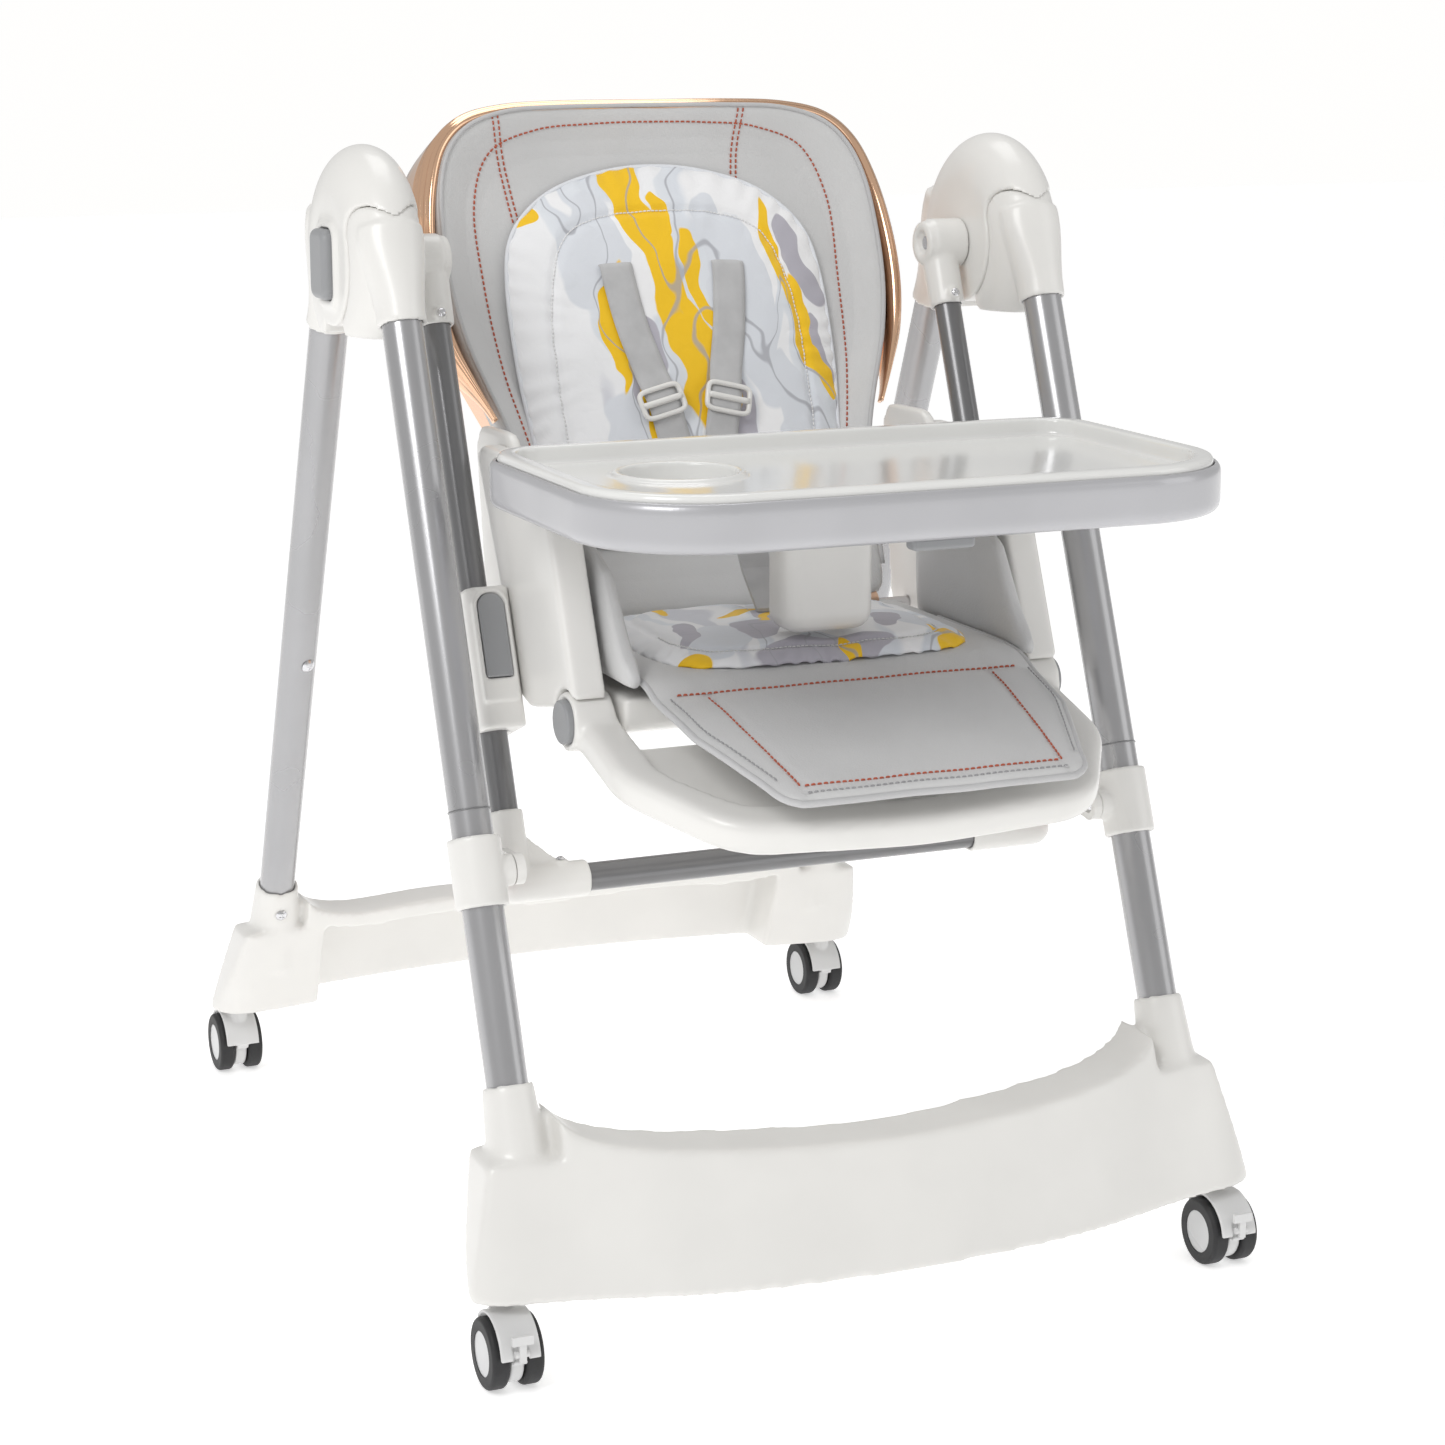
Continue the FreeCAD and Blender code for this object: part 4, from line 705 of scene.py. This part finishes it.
# shoulder straps lying over the cushion, with their adjusters
for sg, tag in ((-1, "l"), (1, "r")):
    P = spline([(48 * sg, 287), (46 * sg, 262), (40 * sg, 225), (30 * sg, 185), (22 * sg, 150), (13.5 * sg, 102)], 120)
    pts = []
    for i, (x, s) in enumerate(P):
        w = cush_front(UP_.q(x, s), 0, x, s)
        w = max(w, 5.0) + 1.6
        w += 4.8 * math.exp(-((s - 168) / 16.0) ** 2)
        w -= 6.5 * smooth01((s - 279) / 8.0)
        pts.append(bk(x, s, w))
    o = ribbon("shoulder_strap_" + tag, pts, [FW] * len(pts), 27 * MM, 1.9 * MM, WEB)
    finish_piece(o, "backrest", ("shoulder_straps",))
    c = np.array([28.0 * sg, 168.0])
    d = np.array([-0.24 * sg, -0.97])
    e = np.array([0.97, -0.24 * sg])
    parts = []
    loop = []
    for k in range(48):
        a = 2 * math.pi * k / 48
        ca, sa = math.cos(a), math.sin(a)
        u = math.copysign(abs(ca) ** 0.35, ca) * 17.5
        v = math.copysign(abs(sa) ** 0.35, sa) * 11
        p = c + e * u + d * v
        loop.append(bk(p[0], p[1], 14.6))
    parts.append(tube("adj_loop_" + tag, loop, 2.1 * MM, WHITE, closed=True))
    parts.append(tube("adj_bar_" + tag, [bk(*(c + e * u), 15.4) for u in np.linspace(-17, 17, 9)], 2.6 * MM, WHITE))
    for q_ in parts:
        finish_piece(q_, "backrest", ("strap_buckles",))

# seat: leatherette mat running from the seat out over the leg rest
prof = [(6, 470), (-40, 469.5), (-90, 469.5), (-140, 469.5), (-165, 469), (-186, 466.5)] + [tuple((np.array([LO[1] - OY, LO[2]]) + np.array([AX[1], AX[2]]) * a + np.array([NX[1], NX[2]]) * n_).tolist()) for a, n_ in ((54, 37), (80, 38), (110, 38), (150, 37.5), (185, 36.5), (205, 34.5))]
C = spline(prof, 130)
arc = np.concatenate([[0], np.cumsum(np.linalg.norm(np.diff(C, axis=0), axis=1))])
L = arc[-1]
TT = np.gradient(C, axis=0)
TT /= np.linalg.norm(TT, axis=1)[:, None]
NN = np.stack([TT[:, 1], -TT[:, 0]], axis=1)
NN *= np.sign(NN[:, 1])[:, None]


def half_w(v):
    r = L - v
    w = float(np.interp(v, [0, L - 158, L - 95, L - 30, L], [148, 148, 142, 121, 113]))
    if r < 16:
        w -= 16 * (1 - math.sqrt(max(0.0, 1 - ((16 - r) / 16) ** 2)))
    return w


AC = 61
verts = []
for i in range(len(C)):
    hw = half_w(arc[i])
    ring = []
    for top in (1, 0):
        for k in (range(AC) if top else reversed(range(AC))):
            f = -math.cos(math.pi * k / (AC - 1))
            x = f * hw
            e = (1 - abs(f) ** 14) ** 0.5 if abs(f) < 1 else 0
            endf = min(1.0, (L - arc[i]) / 7.0 + 0.02)
            endf = math.sqrt(1 - (1 - endf) ** 2)
            th = 5.0 * e * endf
            h = (0.0 + th) if top else -th
            if top and arc[i] > 175:
                h -= 1.6 * math.exp(-((abs(x) - np.interp(arc[i], [195, L - 14], [112, 99])) / 3.0) ** 2) * smooth01((arc[i] - 185) / 15)
            if top:
                h += 0.7 * noise.noise(Vector((x / 40, arc[i] / 40, 1.0)))
            yy, zz = C[i] + NN[i] * h
            ring.append((x * MM, (yy + OY) * MM, zz * MM))
    verts += ring
m2 = AC * 2
fs = grid_faces(m2, len(C), True) + [tuple(range(m2)), tuple(range((len(C) - 1) * m2, len(C) * m2))]
mat_o = mesh_obj("seat_mat", verts, fs, PU)


def blended(o, nodes=()):
    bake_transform(o)
    if nodes:
        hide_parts(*nodes)
    return o


blended(mat_o, ("pad_seat", "pad_legrest"))


def on_mat(x, v, h=5.15):
    y = np.interp(v, arc, C[:, 0])
    z = np.interp(v, arc, C[:, 1])
    n = np.array([np.interp(v, arc, NN[:, 0]), np.interp(v, arc, NN[:, 1])])
    n /= np.linalg.norm(n)
    h += 0.7 * noise.noise(Vector((x / 40, v / 40, 1.0)))
    return np.array([x * MM, (y + n[0] * h + OY) * MM, (z + n[1] * h) * MM]), np.array([0, n[0], n[1]])


def mat_row(name, pts, mat, r=0.75, h=5.15, pitch=4.6, length=3.3):
    P = spline(pts, 240)
    q_ = [on_mat(x, v, h) for x, v in P]
    blended(stitches(name, [p for p, _ in q_], [n for _, n in q_], mat, pitch, length, r))


V0, V1 = L - 150, L - 14
mat_row("stitch_mat_front", [(-99, V1), (0, V1), (99, V1)], THREAD)
mat_row("stitch_mat_left", [(-112, V0), (-106, (V0 + V1) / 2), (-99, V1)], THREAD, h=3.9)
mat_row("stitch_mat_right", [(112, V0), (106, (V0 + V1) / 2), (99, V1)], THREAD, h=3.9)
mat_row("stitch_fold", [(-136, V0 - 2), (0, V0 - 2), (136, V0 - 2)], THREAD)
for sg, tag in ((-1, "l"), (1, "r")):
    mat_row("hem_side_" + tag, [(sg * (half_w(v) - 6.5), v) for v in np.linspace(V0, L - 20, 6)], THREAD_G, r=0.6)
mat_row("hem_front", [(-100, L - 6.5), (0, L - 6.5), (100, L - 6.5)], THREAD_G, r=0.6)
pp = [on_mat(-half_w(v), v, 0)[0] for v in np.linspace(60, L - 1, 70)] + [on_mat(x, L - 0.5, 0)[0] for x in np.linspace(-96, 96, 40)] + [on_mat(half_w(v), v, 0)[0] for v in np.linspace(L - 1, 60, 70)]
blended(tube("mat_piping", pp, 2.6 * MM, PIPING))

# hip bolsters inside the seat walls
for sg, tag in ((-1, "l"), (1, "r")):
    ys = np.linspace(-186, -6, 44)
    verts = []
    for y in ys:
        zt = float(np.interp(y, [-186, -172, -160, -147, -135, -100, -6], [476, 488, 502, 523, 541, 556, 566]))
        ex = smooth01((y + 188) / 14) * smooth01((-4 - y) / 14)
        for k in range(28):
            a = 2 * math.pi * k / 28
            u = math.copysign(abs(math.cos(a)) ** 0.55, math.cos(a)) * 6.2 * (0.45 + 0.55 * ex)
            zc = (466 + zt) / 2
            h = math.copysign(abs(math.sin(a)) ** 0.8, math.sin(a)) * (zt - 466) / 2
            bulge = 1.4 * math.sin(math.pi * min(1, max(0, (zc + h - 466) / (zt - 466)))) if math.cos(a) * sg < 0 else 0
            verts.append((sg * (156.5 - bulge * 1.0) * MM + u * MM, (y + OY) * MM, (zc + h) * MM))
    fs = grid_faces(28, 44, True) + [tuple(range(28)), tuple(range(43 * 28, 44 * 28))]
    o = mesh_obj("hip_bolster_" + tag, verts, fs, PU)
    finish_piece(o, "seat_carrier", ("pad_seat",))

# printed seat cushion
SC = Polar([(math.copysign(abs(math.cos(t)) ** 0.42, math.cos(t)) * 124, -89 + math.copysign(abs(math.sin(t)) ** 0.42, math.sin(t)) * 96) for t in np.linspace(0, 2 * math.pi, 64)[:-1]], (0, -89))


def seat_front(q, a, x, s):
    z = 474 + 16 * max(0.0, 1 - q ** 4) ** 0.6
    z += 1.2 * math.sin(a * 40 + 2 * math.sin(a * 7)) * math.exp(-((1 - q) / 0.07))
    z -= 2.6 * math.exp(-((q - 0.84) / 0.03) ** 2)
    z += 1.6 * noise.noise(Vector((x / 30, s / 30, 9.0))) * min(1.0, (1 - q) * 6)
    z -= 2.0 * math.exp(-(x / 16.0) ** 2)
    return z


cs = pillow("seat_cushion", SC, seat_front, lambda q: float(np.interp(q, [0, .93, 1], [474.6, 474.6, 473.9])), lambda x, s, h: np.array([x, s + OY, h]) * MM, PRINT_S, qs=qs2, nu=360)
fl = np.zeros(len(cs.data.vertices) * 3, dtype=np.float32)
cs.data.attributes["flat"].data.foreach_get("vector", fl)
fl = fl.reshape(-1, 3)
fl[:, 1] *= -1
cs.data.attributes["flat"].data.foreach_set("vector", fl.ravel())
finish_piece(cs, "seat_carrier", ("cushion_seat",))
finish_piece(stitches("seam_seat", [np.array([*(SC.at(a, 0.84) + [0, OY]), seat_front(0.84, a, *SC.at(a, 0.84)) + 0.3]) * MM for a in np.linspace(-math.pi * 0.97, -0.03 * math.pi, 240)], [np.array([0, 0, 1.0])] * 240, THREAD_W, pitch=3.4, length=2.9, r=0.6), "seat_carrier")

# ring seams on the front legs
for sg, tag in ((-1, "l"), (1, "r")):
    z = 376.0
    c = np.array([262.0 * sg, -0.4 * (709.8 - z) + OY, z])
    d = np.array([0, 0.4, 1.0]) / math.hypot(0.4, 1)
    e1, e2 = np.array([1.0, 0, 0]), np.cross(d, [1.0, 0, 0])
    o = tube("leg_ring_" + tag, [(c + (e1 * math.cos(a) + e2 * math.sin(a)) * 15.1) * MM for a in np.linspace(0, 2 * math.pi, 49)[:-1]], 0.7 * MM, SWING, closed=True, sides=6)
    finish_piece(o, "front_frame")

# ------------------------------------------------------------ floor, light, camera
flm, nt, b = new_mat("m_floor", (0.93, 0.93, 0.93), 0.6)
nz = node(nt, "ShaderNodeTexNoise", i_Scale=3.0)
nt.links.new(coords(nt), nz.inputs["Vector"])
add_bump(nt, b, nz.outputs["Fac"], 0.02, 0.001)
b.inputs["Emission Color"].default_value = (1, 1, 1, 1)
b.inputs["Emission Strength"].default_value = 0.5
floor = mesh_obj("floor", [(-12, -12, 0), (12, -12, 0), (12, 12, 0), (-12, 12, 0)], [(0, 1, 2, 3)], flm, smooth=False)

world = bpy.data.worlds.new("studio")
bpy.context.scene.world = world
world.use_nodes = True
wt = world.node_tree
wt.nodes["Background"].inputs[0].default_value = (1.0, 0.995, 0.985, 1)
lp = wt.nodes.new("ShaderNodeLightPath")
ws = node(wt, "ShaderNodeMapRange", i_To_Min=0.54, i_To_Max=1.0)
wt.links.new(lp.outputs["Is Camera Ray"], ws.inputs["Value"])
wt.links.new(ws.outputs["Result"], wt.nodes["Background"].inputs[1])


def area(name, loc, target, size, power):
    ld = bpy.data.lights.new(name, "AREA")
    ld.size = size
    ld.energy = power
    lo_ = bpy.data.objects.new(name, ld)
    lo_.location = loc
    lo_.rotation_euler = (Vector(target) - Vector(loc)).to_track_quat("-Z", "Y").to_euler()
    COL.objects.link(lo_)


area("key", (-2.2, -1.6, 2.6), (0, 0, 0.4), 1.4, 40)
area("fill", (2.4, -1.8, 1.5), (0, 0, 0.4), 1.8, 9)
area("top", (0.2, 0.8, 3.0), (0, 0, 0.4), 1.5, 14)

cam = bpy.data.cameras.new("camera")
cam.lens = 79.49
cam.sensor_width = 36
co_ = bpy.data.objects.new("camera", cam)
co_.location = (-0.9576, -2.2810, 0.9353)
co_.rotation_euler = (Vector((-0.01016, -0.0659, 0.3899)) - co_.location).to_track_quat("-Z", "Y").to_euler()
COL.objects.link(co_)
bpy.context.scene.camera = co_
bpy.context.scene.view_settings.view_transform = "Standard"
